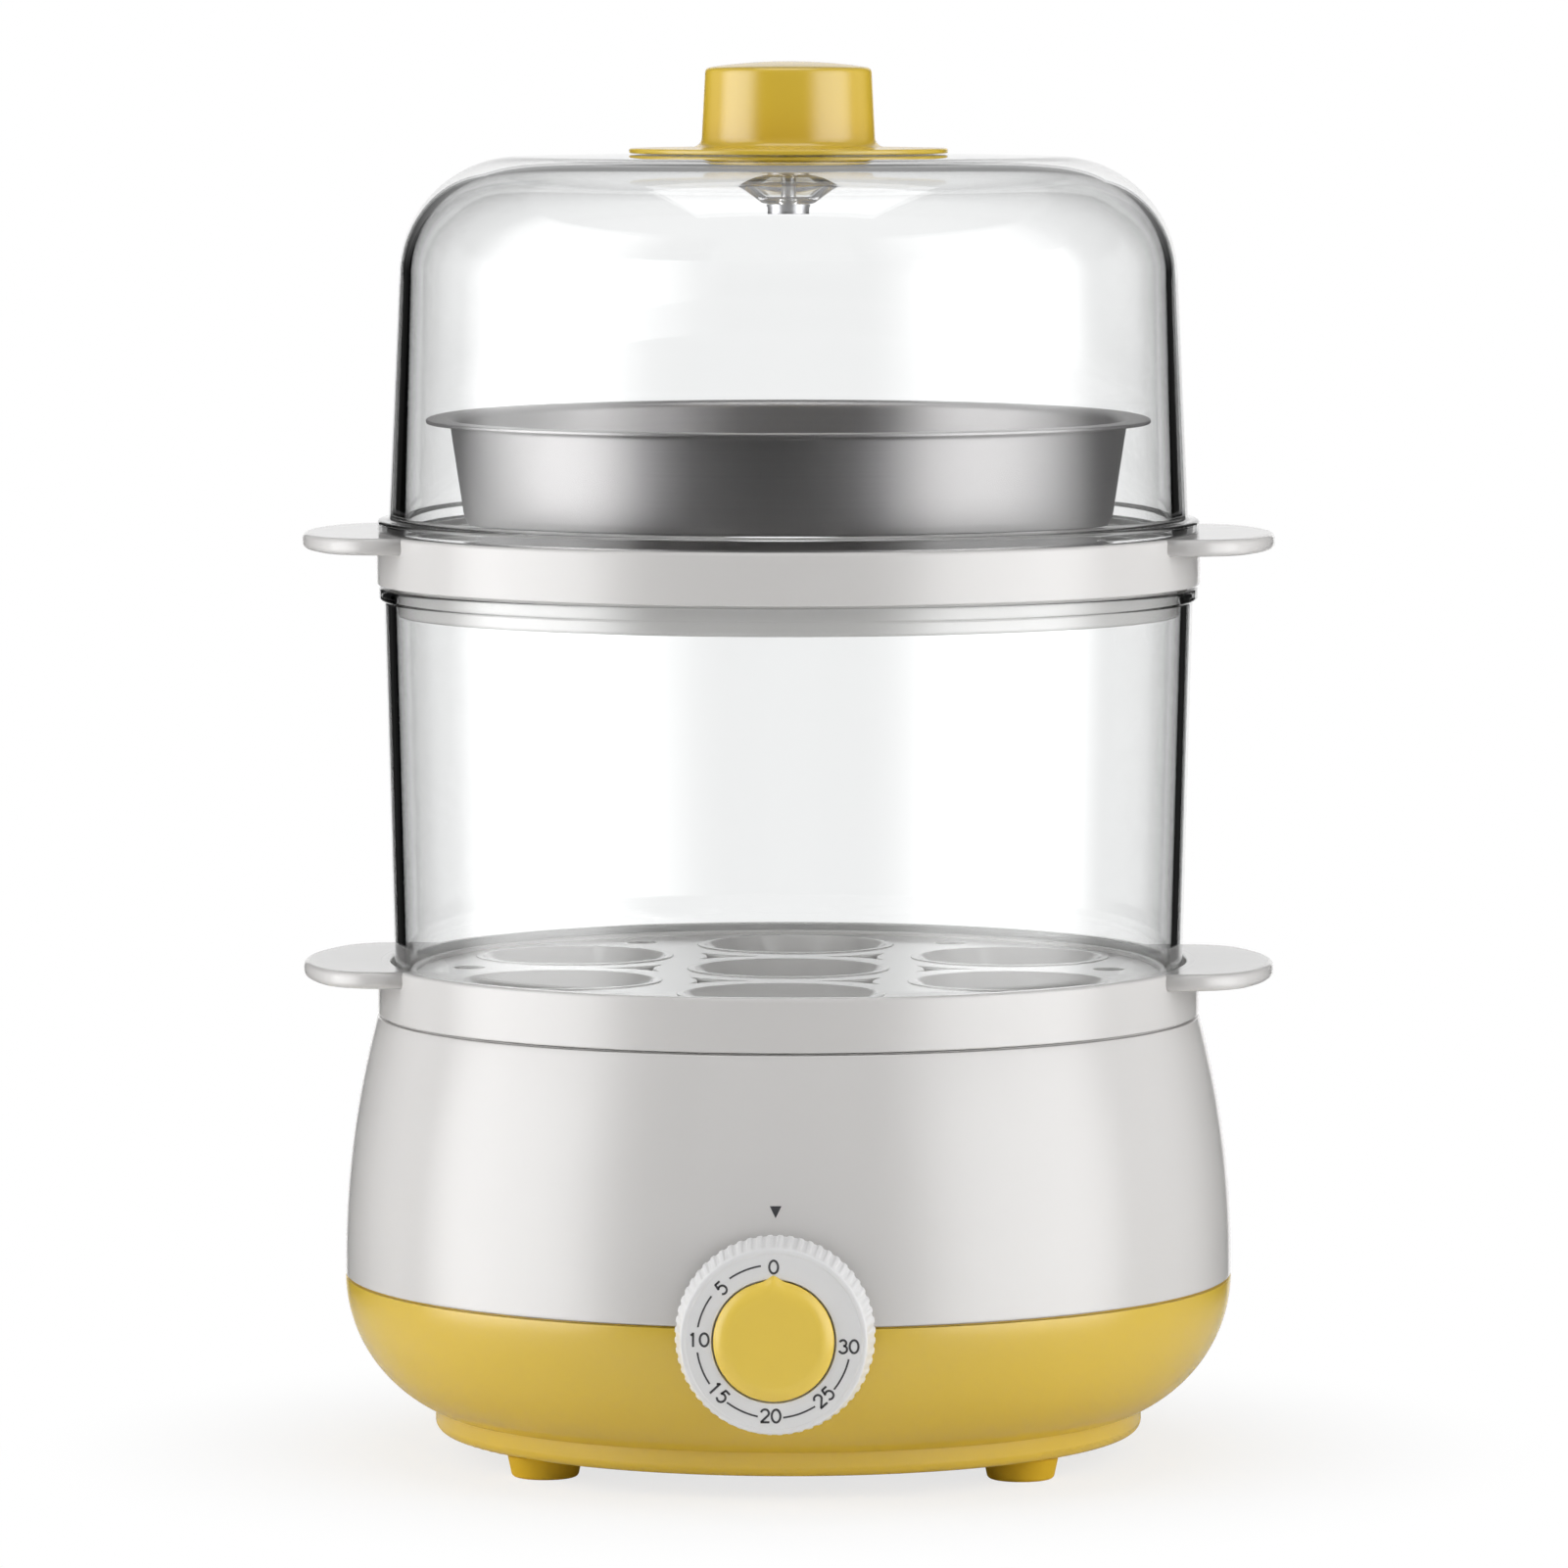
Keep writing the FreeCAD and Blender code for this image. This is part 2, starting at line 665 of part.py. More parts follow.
# Heating plate: a shallow pan on a seal, held by weld studs and nuts under the shelf.
plate, spin = lathe("heating_plate", [
    ("0", PAN_Z),
    ("pan_r - pan_round", PAN_Z, "pan_round", 1),
    ("pan_r", PAN_Z + " + pan_round"),
    ("pan_r", FLANGE_Z),
    ("pan_flange_r", FLANGE_Z),
    ("pan_flange_r", FLANGE_Z + " + pan_wall"),
    ("pan_r - pan_wall", FLANGE_Z + " + pan_wall"),
    ("pan_r - pan_wall", PAN_Z + " + pan_round", "pan_round - pan_wall", -1),
    ("pan_r - pan_round", PAN_Z + " + pan_wall"),
    ("0", PAN_Z + " + pan_wall"),
])
keep("heating_plate", plate)

seal = cylinder("seal_disc", "pan_flange_r - fit_gap", "seal_height", "0", "0", SHELF_Z)
seal_cuts = [cylinder("seal_hole", "plate_hole_r + fit_gap", "seal_height", "0", "0", SHELF_Z)]
studs = []
nuts = []
for i in range(3):
    x, y = spoke("stud_pitch", 60 + 120 * i)
    seal_cuts.append(cylinder("seal_stud_hole_%d" % i, "stud_r + loose_gap", "seal_height", x, y, SHELF_Z))
    studs.append(cylinder("plate_stud_%d" % i, "stud_r", "stud_length", x, y, FLANGE_Z + " - stud_length"))
    hexagon = doc.addObject("Part::Prism", "nut_hexagon_%d" % i)
    bind(hexagon, "Circumradius", "nut_r")
    bind(hexagon, "Height", "nut_height")
    nut_z = shelf_low + " - nut_height"
    place(hexagon, x, y, nut_z)
    thread = cylinder("nut_thread_%d" % i, "stud_r + close_gap", "nut_height", x, y, nut_z)
    nuts.append(cut_from("plate_nut_%d" % i, hexagon, [thread]))
keep("plate_seal", cut_from("plate_seal", seal, seal_cuts))
keep("plate_studs", group("plate_studs", studs))
keep("plate_nuts", group("plate_nuts", nuts))


def tube_ring(name, tube, degrees, start):
    """Part of a torus about Z, at the underside of the heat spreader."""
    item = doc.addObject("Part::Torus", name)
    bind(item, "Radius1", "heater_r")
    bind(item, "Radius2", tube)
    item.Angle3 = degrees
    place(item, "0", "0", HEAT_Z, FreeCAD.Rotation(FreeCAD.Vector(0, 0, 1), start))
    return item


# Heat spreader with the tubular heater half sunk in its underside, its two legs a gap apart in degrees.
LEG_GAP = 60
GROOVE_END = 12
fuse_y = "-fuse_offset"
clip_y = "(-fuse_offset - fuse_r - clip_wall - clip_ear / 2)"
tap_r = "small_screw_r + close_gap"
spreader_cuts = [tube_ring("heater_groove", "heater_tube_r + close_gap",
                           360 - LEG_GAP + 2 * GROOVE_END, 90 + LEG_GAP / 2 - GROOVE_END)]
for i, x in enumerate(("-bracket_screw_offset", "bracket_screw_offset")):
    spreader_cuts.append(cylinder("bracket_tap_%d" % i, tap_r, "small_screw_depth", x, "0", HEAT_Z))
spreader_cuts.append(cylinder("clip_tap", tap_r, "small_screw_depth", "0", clip_y, HEAT_Z))
disc = cylinder("spreader_disc", "spreader_r", "spreader_height", "0", "0", HEAT_Z)
keep("heat_spreader", cut_from("heat_spreader", disc, spreader_cuts))
leg_z = HEAT_Z + " - heater_leg"
pin_z = leg_z + " - pin_length"
coil = [tube_ring("heater_ring", "heater_tube_r", 360 - LEG_GAP, 90 + LEG_GAP / 2)]
pins = []
for i, angle in enumerate((90 - LEG_GAP / 2, 90 + LEG_GAP / 2)):
    x, y = spoke("heater_r", angle)
    elbow = doc.addObject("Part::Sphere", "heater_elbow_%d" % i)
    bind(elbow, "Radius", "heater_tube_r")
    place(elbow, x, y, HEAT_Z)
    coil.append(elbow)
    coil.append(cylinder("heater_leg_%d" % i, "heater_tube_r", "heater_leg", x, y, leg_z))
    pins.append(cylinder("heater_pin_%d" % i, "pin_r", "pin_length", x, y, pin_z))
keep("heater_element", joined("heater_element", coil))
keep("heater_pins", group("heater_pins", pins))

# Thermostat under the middle of the spreader, its bracket and screws.
rim_z = "(" + HEAT_Z + " - thermostat_rim)"
low_z = "(" + HEAT_Z + " - thermostat_height)"
sensor = [
    cylinder("thermostat_case", "thermostat_r", "thermostat_height", "0", "0", low_z),
    cylinder("thermostat_flange", "thermostat_r + thermostat_lip", "thermostat_rim", "0", "0", rim_z),
]
blade_z = "(" + low_z + " - blade_long)"
for i, y in enumerate(("-blade_offset", "blade_offset")):
    sensor.append(block("thermostat_blade_%d" % i, "blade_wide", "blade_wall", "blade_long", "0", y, blade_z))
keep("thermostat", joined("thermostat", sensor))


def small_screw(name, x, y, seat, clamped):
    """A short screw into the spreader: its head is under the seat, the clamped pieces lie above it."""
    head = cylinder(name + "_head", "small_head_r", "small_head_height", x, y, seat + " - small_head_height")
    shank = cylinder(name + "_shank", "small_screw_r", clamped + " + small_screw_depth", x, y, seat)
    return joined(name, [head, shank])


strap_z = "(" + rim_z + " - bracket_wall)"
strap = [block("bracket_strap", "2 * bracket_half", "bracket_wide", "bracket_wall", "0", "0", strap_z)]
strap_cuts = [cylinder("bracket_eye", "thermostat_r + fit_gap", "bracket_wall", "0", "0", strap_z)]
clamped = "bracket_wall + thermostat_rim"
screws = []
for i, side in enumerate(("-1", "1")):
    x = side + " * bracket_screw_offset"
    foot_mid = side + " * (bracket_half - bracket_foot / 2)"
    strap.append(block("bracket_foot_%d" % i, "bracket_foot", "bracket_wide", "thermostat_rim",
                       foot_mid, "0", rim_z))
    strap_cuts.append(cylinder("bracket_hole_%d" % i, "small_screw_r + fit_gap", clamped, x, "0", strap_z))
    screws.append(small_screw("bracket_screw_%d" % i, x, "0", strap_z, clamped))
keep("thermostat_bracket", cut_from("thermostat_bracket", joined("bracket_blank", strap), strap_cuts))
keep("thermostat_screws", group("thermostat_screws", screws))

# Thermal fuse in a saddle clip.
fuse_z = "(" + HEAT_Z + " - fuse_r)"
fuse_x = "-fuse_length / 2"
keep("thermal_fuse", cylinder("thermal_fuse", "fuse_r", "fuse_length", fuse_x, fuse_y, fuse_z, SIDEWAYS))
saddle_wide = "2 * (fuse_r + clip_wall)"
saddle_high = "(2 * fuse_r + clip_wall)"
ear_z = HEAT_Z + " - clip_wall"
saddle = [
    block("clip_saddle", "clip_wide", saddle_wide, saddle_high, "0", fuse_y, HEAT_Z + " - " + saddle_high),
    block("clip_ear", "clip_wide", "clip_ear", "clip_wall", "0", clip_y, ear_z),
]
clip_cuts = [
    cylinder("clip_bore", "fuse_r + close_gap", "clip_wide", "-clip_wide / 2", fuse_y, fuse_z, SIDEWAYS),
    cylinder("clip_hole", "small_screw_r + fit_gap", "clip_wall", "0", clip_y, ear_z),
]
keep("fuse_clip", cut_from("fuse_clip", joined("clip_blank", saddle), clip_cuts))
keep("fuse_clip_screw", small_screw("fuse_clip_screw", "0", clip_y, ear_z, "clip_wall"))


# Finger tab of an egg tray: a flat lobe with rounded edges, rooted in the ring wall.
def finger_tab(name, level, degrees):
    body = new_body(name)
    sketch = new_sketch(body, "XY_Plane", name + "_plan")
    root_x = "sqrt((rim_r - 1)^2 - tab_half^2)"
    tip_x = "(tab_reach - tab_tip)"
    reach = "(tab_tip - tab_corner)"
    flank_dx = "sqrt((tab_tip - tab_corner)^2 - (tab_half - tab_corner)^2)"
    flank_x = tip_x + " + " + flank_dx
    nose_x = tip_x + " + " + flank_dx + " * tab_tip / " + reach
    nose_y = "((tab_half - tab_corner) * tab_tip / " + reach + ")"
    outline(sketch, [
        (root_x, "-tab_half"),
        (flank_x, "-tab_half", "tab_corner", 1),
        (nose_x, "-" + nose_y, "tab_tip", 1),
        (nose_x, nose_y, "tab_corner", 1),
        (flank_x, "tab_half"),
        (root_x, "tab_half", "rim_r - 1", -1),
    ])
    pad = raised(body, sketch, "tab_height")
    root = number("rim_r - 1")

    def free_edge(edge):
        middle = edge.valueAt((edge.FirstParameter + edge.LastParameter) / 2)
        return edge.BoundBox.ZLength < 1e-4 and math.hypot(middle.x, middle.y) > root + 0.1

    rounded(body, pad, "tab_round", free_edge, name + "_round")
    spin_z = FreeCAD.Rotation(FreeCAD.Vector(0, 0, 1), degrees)
    place(body, "0", "0", level + " + ring_height - tab_height", spin_z)
    return body


# Egg trays: one moulding, used twice.
def egg_tray(name, level):
    """Ring with a groove for the clear piece above, skirt, floor with seven seats, vents and two tabs."""
    ring_in = "rim_r - ring_wall"
    collar_in = COLLAR_R + " - collar_wall"
    top = "skirt_depth + ring_height"
    floor = "skirt_depth + floor_level"
    web = "skirt_depth + groove_floor - groove_web"
    body, last = lathe(name + "_dish", [
        ("skirt_r - skirt_wall", "0"),
        ("skirt_r", "0"),
        ("skirt_r", web),
        (ring_in, web),
        (ring_in, "skirt_depth"),
        ("rim_r", "skirt_depth"),
        ("rim_r", top),
        (ring_in, top),
        (ring_in, "skirt_depth + groove_floor"),
        (COLLAR_R, "skirt_depth + groove_floor"),
        (COLLAR_R, floor + " + collar_lip"),
        (collar_in, floor + " + collar_lip"),
        (collar_in, floor),
        ("0", floor),
        ("0", floor + " - floor_wall"),
        (collar_in, floor + " - floor_wall"),
        (collar_in, web),
        ("skirt_r - skirt_wall", web),
    ])
    crest = number(top)
    rim = number("rim_r")

    def ring_crest(edge):
        curve = edge.Curve
        if not isinstance(curve, Part.Circle):
            return False
        return abs(curve.Radius - rim) < 1e-4 and abs(curve.Center.z - crest) < 1e-4

    rounded(body, last, "ring_round", ring_crest, name + "_crest")
    low = floor + " - seat_depth"
    high = floor + " + seat_rim"
    plane = "YZ_Plane"
    for place_name, centre in (("middle", "0"), ("outer", "seat_pitch")):
        wall = new_sketch(body, plane, name + "_seat_" + place_name)
        outline(wall, [
            (centre + " + seat_hole_r", low),
            (centre + " + seat_hole_r + seat_wall", low),
            (centre + " + seat_r + seat_wall", floor),
            (centre + " + seat_r + seat_wall", high),
            (centre + " + seat_r", high),
        ])
        hollow = new_sketch(body, plane, name + "_hollow_" + place_name)
        outline(hollow, [
            (centre, low),
            (centre + " + seat_hole_r", low),
            (centre + " + seat_r", high),
            (centre, high),
        ])
        axis = "V_Axis"
        if centre != "0":
            axis = "Axis0"
            for sketch in (wall, hollow):
                reach = FreeCAD.Vector(number(centre), number(low), 0)
                tip = reach + FreeCAD.Vector(0, number("seat_depth"), 0)
                line = Part.LineSegment(reach, tip)
                edge = sketch.addGeometry(line, True)
                pin_point(sketch, edge, 1, centre, low, "axis")
                sketch.addConstraint(Sketcher.Constraint("Vertical", edge))
        added = spun(body, wall, "PartDesign::Revolution", axis)
        removed = spun(body, hollow, "PartDesign::Groove", axis)
        if centre != "0":
            around(body, [added, removed], 6, name + "_seats")
    vents = new_sketch(body, "XY_Plane", name + "_vent", floor + " + 1")
    gap = "(seat_pitch / sqrt(3))"
    outline(vents, [
        (gap + " + vent_reach", "0", "vent_curve", -1),
        (gap + " - vent_reach / 2", "vent_reach * sqrt(3) / 2", "vent_curve", -1),
        (gap + " - vent_reach / 2", "-vent_reach * sqrt(3) / 2", "vent_curve", -1),
    ])
    ring(vents, "vent_hole_pitch", "0", "vent_hole_r", "hole")
    vent = sunk(body, vents, "floor_wall + 2")
    around(body, [vent], 6, name + "_vents")
    place(body, "0", "0", level + " - skirt_depth")
    tabs = [finger_tab(name + "_tab_right", level, 0), finger_tab(name + "_tab_left", level, 180)]
    keep(name, joined(name, [body] + tabs))


egg_tray("lower_egg_tray", RIM_Z)
egg_tray("upper_egg_tray", UPPER_Z)

# Clear tier: slightly conical tube with an outward lip.
tier, spin = lathe("clear_tier", [
    ("tier_foot_r - clear_wall", "0"),
    ("tier_foot_r", "0"),
    ("tier_top_r", "tier_height - tier_lip_height"),
    ("tier_lip_r", "tier_height - tier_lip_height"),
    ("tier_lip_r", "tier_height"),
    ("tier_top_r - clear_wall", "tier_height"),
])
place(tier, "0", "0", TIER_Z)
keep("clear_tier", tier)

# Steaming bowl: drawn sheet with a flat rim.
turn_r = "bowl_foot_r - bowl_round"
bowl, spin = lathe("steam_bowl", [
    ("0", "0"),
    (turn_r, "0", "bowl_round", 1),
    ("bowl_foot_r", "bowl_round"),
    ("bowl_top_r", "bowl_height - bowl_wall"),
    ("bowl_rim_r", "bowl_height - bowl_wall"),
    ("bowl_rim_r", "bowl_height"),
    ("bowl_top_r - bowl_wall", "bowl_height"),
    ("bowl_foot_r - bowl_wall", "bowl_round", "bowl_round - bowl_wall", -1),
    (turn_r, "bowl_wall"),
    ("0", "bowl_wall"),
])
place(bowl, "0", "0", UPPER_Z + " + floor_level + seat_rim")
keep("steam_bowl", bowl)

# Lid dome, from the spigot up: flange, drafted wall, shoulder, crown and the dimple for the knob.
lift = "lid_spigot"
crown_z = "(lid_spigot + dome_height - crown_rise)"
apex_z = "(lid_spigot + dome_height)"
crown_r = "(shoulder_r - shoulder_curve)"
crown_arc = arc_through("crown_rise", crown_r)
spigot_r = "(rim_r - ring_wall - tray_gap)"
brim_z = "(lid_spigot + dome_height - crown_rise * (dimple_top_r / (shoulder_r - shoulder_curve))^2)"
dimple_z = "(lid_spigot + dome_height - dimple_depth)"
dome, spin = lathe("lid_dome", [
    (spigot_r + " - clear_wall", "0"),
    (spigot_r, "0"),
    (spigot_r, lift),
    ("rim_r - fit_gap", lift),
    ("rim_r - fit_gap", lift + " + lid_flange_height"),
    ("dome_foot_r", lift + " + lid_flange_height"),
    ("shoulder_r", crown_z + " - shoulder_curve", "shoulder_curve", 1),
    (crown_r, crown_z, crown_arc, 1),
    ("dimple_top_r", brim_z),
    ("dimple_foot_r", dimple_z),
    ("knob_screw_r + loose_gap", dimple_z),
    ("knob_screw_r + loose_gap", dimple_z + " - clear_wall"),
    ("dimple_foot_r + 0.6", dimple_z + " - clear_wall"),
    ("dimple_top_r + clear_wall", brim_z + " - clear_wall"),
    (crown_r, crown_z + " - clear_wall", "shoulder_curve - clear_wall", -1),
    ("shoulder_r - clear_wall", crown_z + " - shoulder_curve"),
])
place(dome, "0", "0", LID_Z + " - lid_spigot")
keep("lid_dome", dome)

# Knob with its disc: hollow, with a post that fills the dimple and takes the screw.
disc_top = "dimple_depth + knob_plate_edge"
knob, spin = lathe("knob_body", [
    ("knob_plate_r", "dimple_depth"),
    ("knob_plate_r", disc_top),
    ("knob_flare_r", disc_top + " + knob_disc_rise", "knob_flare_curve", -1),
    ("knob_foot_r", disc_top + " + knob_disc_rise + knob_flare_height"),
    ("knob_top_r", "dimple_depth + knob_height - knob_round", "knob_round", 1),
    ("knob_top_r - knob_round", "dimple_depth + knob_height",
     arc_through("knob_crown", "knob_top_r - knob_round"), 1),
    ("0", "dimple_depth + knob_height + knob_crown"),
    ("0", "0"),
    ("knob_post_r", "0"),
    ("knob_post_r", "dimple_depth + knob_height - knob_wall"),
    ("knob_top_r - knob_wall", "dimple_depth + knob_height - knob_wall"),
    ("knob_foot_r - knob_wall", "dimple_depth"),
])
sketch = new_sketch(knob, "XY_Plane", "knob_pilot")
ring(sketch, "0", "0", "knob_screw_r + close_gap", "pilot")
sunk(knob, sketch, "knob_screw_length - clear_wall - washer_height + 1", True)
place(knob, "0", "0", KNOB_Z + " - dimple_depth")
keep("lid_knob", knob)
under = "(" + KNOB_Z + " - dimple_depth - clear_wall)"
washer_z = "(" + under + " - washer_height)"
washer = cylinder("washer_disc", "dimple_foot_r", "washer_height", "0", "0", washer_z)
washer_hole = cylinder("washer_hole", "knob_screw_r + fit_gap", "washer_height", "0", "0", washer_z)
keep("lid_knob_washer", cut_from("lid_knob_washer", washer, [washer_hole]))
head = cylinder("knob_head", "knob_head_r", "knob_head_height", "0", "0", washer_z + " - knob_head_height")
shank = cylinder("knob_shank", "knob_screw_r", "knob_screw_length", "0", "0", washer_z)
keep("lid_knob_screw", joined("lid_knob_screw", [head, shank]))

# Timer dial: fluted ring with a hub, and its cap with a pointer. Their own Z axis faces the front.
web_z = "dial_depth - dial_cap_depth"
dial, spin = lathe("dial_body", [
    ("dial_r", "0"),
    ("dial_r", "dial_skirt"),
    ("dial_face_r", "dial_depth - dial_round", "dial_round", 1),
    ("dial_face_r - dial_round", "dial_depth"),
    ("dial_cap_r + close_gap", "dial_depth"),
    ("dial_cap_r + close_gap", web_z),
    ("0", web_z),
    ("0", web_z + " - socket_wall"),
    ("shaft_r + press_gap", web_z + " - socket_wall"),
    ("shaft_r + press_gap", "0"),
    ("dial_hub_r", "0"),
    ("dial_hub_r", web_z + " - dial_wall"),
    ("dial_face_r - dial_wall", web_z + " - dial_wall"),
    ("dial_r - dial_wall", "0"),
])
sketch = new_sketch(dial, "XY_Plane", "flute")
ring(sketch, "dial_r + flute_r - flute_depth", "0", "flute_r", "flute")
flute = sunk(dial, sketch, "dial_depth - flute_stop", True)
around(dial, [flute], number("grip_flutes"), "flutes")
place(dial, "0", "-" + DIAL_Y, DIAL_Z, FORWARD)
keep("dial_knob", dial)
cap, spin = lathe("cap_body", [
    ("0", web_z),
    ("dial_cap_r", web_z),
    ("dial_cap_r", "dial_depth + dial_cap_proud", arc_through("dial_cap_crown", "dial_cap_r"), 1),
    ("0", "dial_depth + dial_cap_proud + dial_cap_crown"),
])
sketch = new_sketch(cap, "XY_Plane", "pointer", "dial_depth")
ring(sketch, "0", "dial_cap_r - loose_gap", "pointer_r", "nub")
raised(cap, sketch, "dial_cap_proud")
place(cap, "0", "-" + DIAL_Y, DIAL_Z, FORWARD)
keep("dial_cap", cap)

# Timer: front plate with bush, case, screws, shaft and cam.
back_y = "(belly_r - timer_setback - timer_plate_wall - timer_deep)"
shaft_low = "(" + back_y + " + loose_gap)"
shaft_high = "(" + DIAL_Y + " + " + web_z + " - socket_wall - fit_gap)"
mount_y = "-" + PLATE_Y + " + timer_plate_wall / 2"
plate_low = DIAL_Z + " - timer_tall / 2"
sheet_metal = block("plate_sheet", "timer_width", "timer_plate_wall", "timer_tall", "0", mount_y, plate_low)
bush = cylinder("plate_bush", "bush_r", "timer_setback - dial_gap", "0", "-" + PLATE_Y, DIAL_Z, FORWARD)
plate_cuts = [cylinder("bush_bore", "shaft_r + shaft_fit", "timer_setback + timer_plate_wall",
                       "0", "-" + CASE_Y, DIAL_Z, FORWARD)]
seat_y = "-(belly_r - timer_seat)"
shank_long = "(timer_setback - timer_seat + timer_plate_wall)"
screws = []
for i, side in enumerate(("-1", "1")):
    x = side + " * timer_screw_offset"
    plate_cuts.append(cylinder("plate_thread_%d" % i, "timer_screw_r + press_gap", "timer_plate_wall",
                               x, "-" + CASE_Y, screw_z, FORWARD))
    head = cylinder("timer_head_%d" % i, "timer_head_r", "timer_head_height", x, seat_y, screw_z, FORWARD)
    shank = cylinder("timer_shank_%d" % i, "timer_screw_r", shank_long, x, "-" + CASE_Y, screw_z, FORWARD)
    screws.append(joined("timer_screw_%d" % i, [head, shank]))
keep("timer_plate", cut_from("timer_plate", joined("plate_with_bush", [sheet_metal, bush]), plate_cuts))
keep("timer_screws", group("timer_screws", screws))
case_y = "-" + CASE_Y + " + timer_deep / 2"
case_wide = "(timer_width - 2 * timer_wall)"
case_tall = "(timer_tall - 2 * timer_wall)"
case_low = DIAL_Z + " - " + case_tall + " / 2"
shell_block = block("case_block", case_wide, "timer_deep", case_tall, "0", case_y, case_low)
case_cuts = [
    block("case_room", case_wide + " - 2 * timer_wall", "timer_deep", case_tall + " - 2 * timer_wall",
          "0", case_y + " - timer_wall", case_low + " + timer_wall"),
    cylinder("case_bearing", "shaft_r + shaft_fit", "timer_wall", "0", "-" + back_y, DIAL_Z, FORWARD),
]

# Contact leaves through slots in the back of the case: the lower one has a follower for the cam.
leaf_z = "(" + DIAL_Z + " + leaf_rise)"
leaf_y = "-" + back_y + " - leaf_offset"
rivet_y = leaf_y + " - leaf_tip"
leaves = []
for i, (side, rise) in enumerate((("-1", "0"), ("1", "leaf_gap"))):
    x = side + " * leaf_offset"
    z = leaf_z + " + " + rise
    slot_wide = "leaf_wide + 2 * fit_gap"
    slot_high = "leaf_wall + 2 * fit_gap"
    case_cuts.append(block("leaf_slot_%d" % i, slot_wide, "4 * timer_wall", slot_high,
                           x, "-" + back_y, z + " - fit_gap"))
    pieces = [block("leaf_strip_%d" % i, "leaf_wide", "leaf_long", "leaf_wall", x, leaf_y, z)]
    if i == 0:
        rivet_z = z + " + leaf_wall / 2"
        pieces.append(cylinder("leaf_rivet_0", "rivet_r", "rivet_height", "0", rivet_y, rivet_z))
        follower_high = "follower_height + leaf_wall / 2"
        pieces.append(block("leaf_follower", "cam_wide + rivet_r", "cam_wide", follower_high,
                            "0", rivet_y + " - cam_wide", z + " - follower_height"))
    else:
        rivet_z = z + " + leaf_wall / 2 - rivet_height"
        pieces.append(cylinder("leaf_rivet_1", "rivet_r", "rivet_height", "0", rivet_y, rivet_z))
    leaves.append(joined("leaf_%d" % i, pieces))
keep("timer_case", cut_from("timer_case", shell_block, case_cuts))
keep("contact_leaves", group("contact_leaves", leaves))
shaft_long = shaft_high + " - " + shaft_low
keep("timer_shaft", cylinder("timer_shaft", "shaft_r", shaft_long, "0", "-" + shaft_low, DIAL_Z, FORWARD))
cam_y = "-(" + back_y + " + cam_step)"
cam = cylinder("cam_disc", "cam_r", "cam_wide", "0", cam_y, DIAL_Z, FORWARD)
cam_cuts = [
    cylinder("cam_bore", "shaft_r + press_gap", "cam_wide", "0", cam_y, DIAL_Z, FORWARD),
    cylinder("cam_notch", "cam_notch_r", "cam_wide", "0", cam_y, DIAL_Z + " + cam_r", FORWARD),
]
keep("timer_cam", cut_from("timer_cam", cam, cam_cuts))


def involute_gear(teeth, module, wide, play, bore, turn):
    """A gear with involute flanks, thinned by play, with a round bore."""
    pitch = teeth * module / 2
    base = pitch * math.cos(math.radians(20))
    tip = pitch + 0.8 * module
    root = pitch - 1.25 * module
    half = math.pi / (2 * teeth) - play / (2 * pitch)
    roll = math.tan(math.radians(20)) - math.radians(20)
    flank = []
    for i in range(7):
        radius = root + (tip - root) * i / 6
        angle = half + roll
        if radius > base:
            lean = math.acos(base / radius)
            angle -= math.tan(lean) - lean
        flank.append((radius, angle))
    points = []
    for tooth in range(teeth):
        middle = turn + 2 * math.pi * tooth / teeth
        for radius, angle in flank:
            points.append((radius, middle - angle))
        for radius, angle in reversed(flank):
            points.append((radius, middle + angle))
    corners = [FreeCAD.Vector(r * math.cos(a), r * math.sin(a), 0) for r, a in points]
    blank = Part.Face(Part.makePolygon(corners + corners[:1])).extrude(FreeCAD.Vector(0, 0, wide))
    return blank.cut(Part.makeCylinder(bore, wide))


# Drive gear on the shaft; pinion with its wheel on a fixed arbor.
teeth = int(number("gear_teeth"))
small = int(number("pinion_teeth"))
module = number("gear_module")
play = number("gear_play")
wide = number("gear_wide")
gear_y = "-(" + back_y + " + gear_step)"
gear = doc.addObject("Part::Feature", "drive_gear")
gear.Shape = involute_gear(teeth, module, wide, play, number("shaft_r + press_gap"), 0)
place(gear, "0", gear_y, DIAL_Z, FORWARD)
keep("drive_gear", gear)
arbor_x = "(gear_module * (gear_teeth + pinion_teeth) / 2)"
pinion = doc.addObject("Part::Feature", "pinion")
pinion.Shape = involute_gear(small, module, wide, play, number("arbor_r + shaft_fit"), math.pi / small)
place(pinion, arbor_x, gear_y, DIAL_Z, FORWARD)
wheel_y = gear_y + " + wheel_step"
hub_long = "wheel_step + gear_wide"
disc = cylinder("wheel_disc", "wheel_r", "wheel_wall", arbor_x, wheel_y, DIAL_Z, FORWARD)
hub = cylinder("wheel_hub", "wheel_hub_r", hub_long, arbor_x, wheel_y, DIAL_Z, FORWARD)
bore = cylinder("wheel_bore", "arbor_r + shaft_fit", hub_long, arbor_x, wheel_y, DIAL_Z, FORWARD)
keep("escape_wheel", cut_from("escape_wheel", joined("wheel_blank", [pinion, disc, hub]), [bore]))
keep("escape_arbor", cylinder("escape_arbor", "arbor_r", "timer_deep - timer_wall", arbor_x,
                              "-" + back_y + " - timer_wall", DIAL_Z, FORWARD))

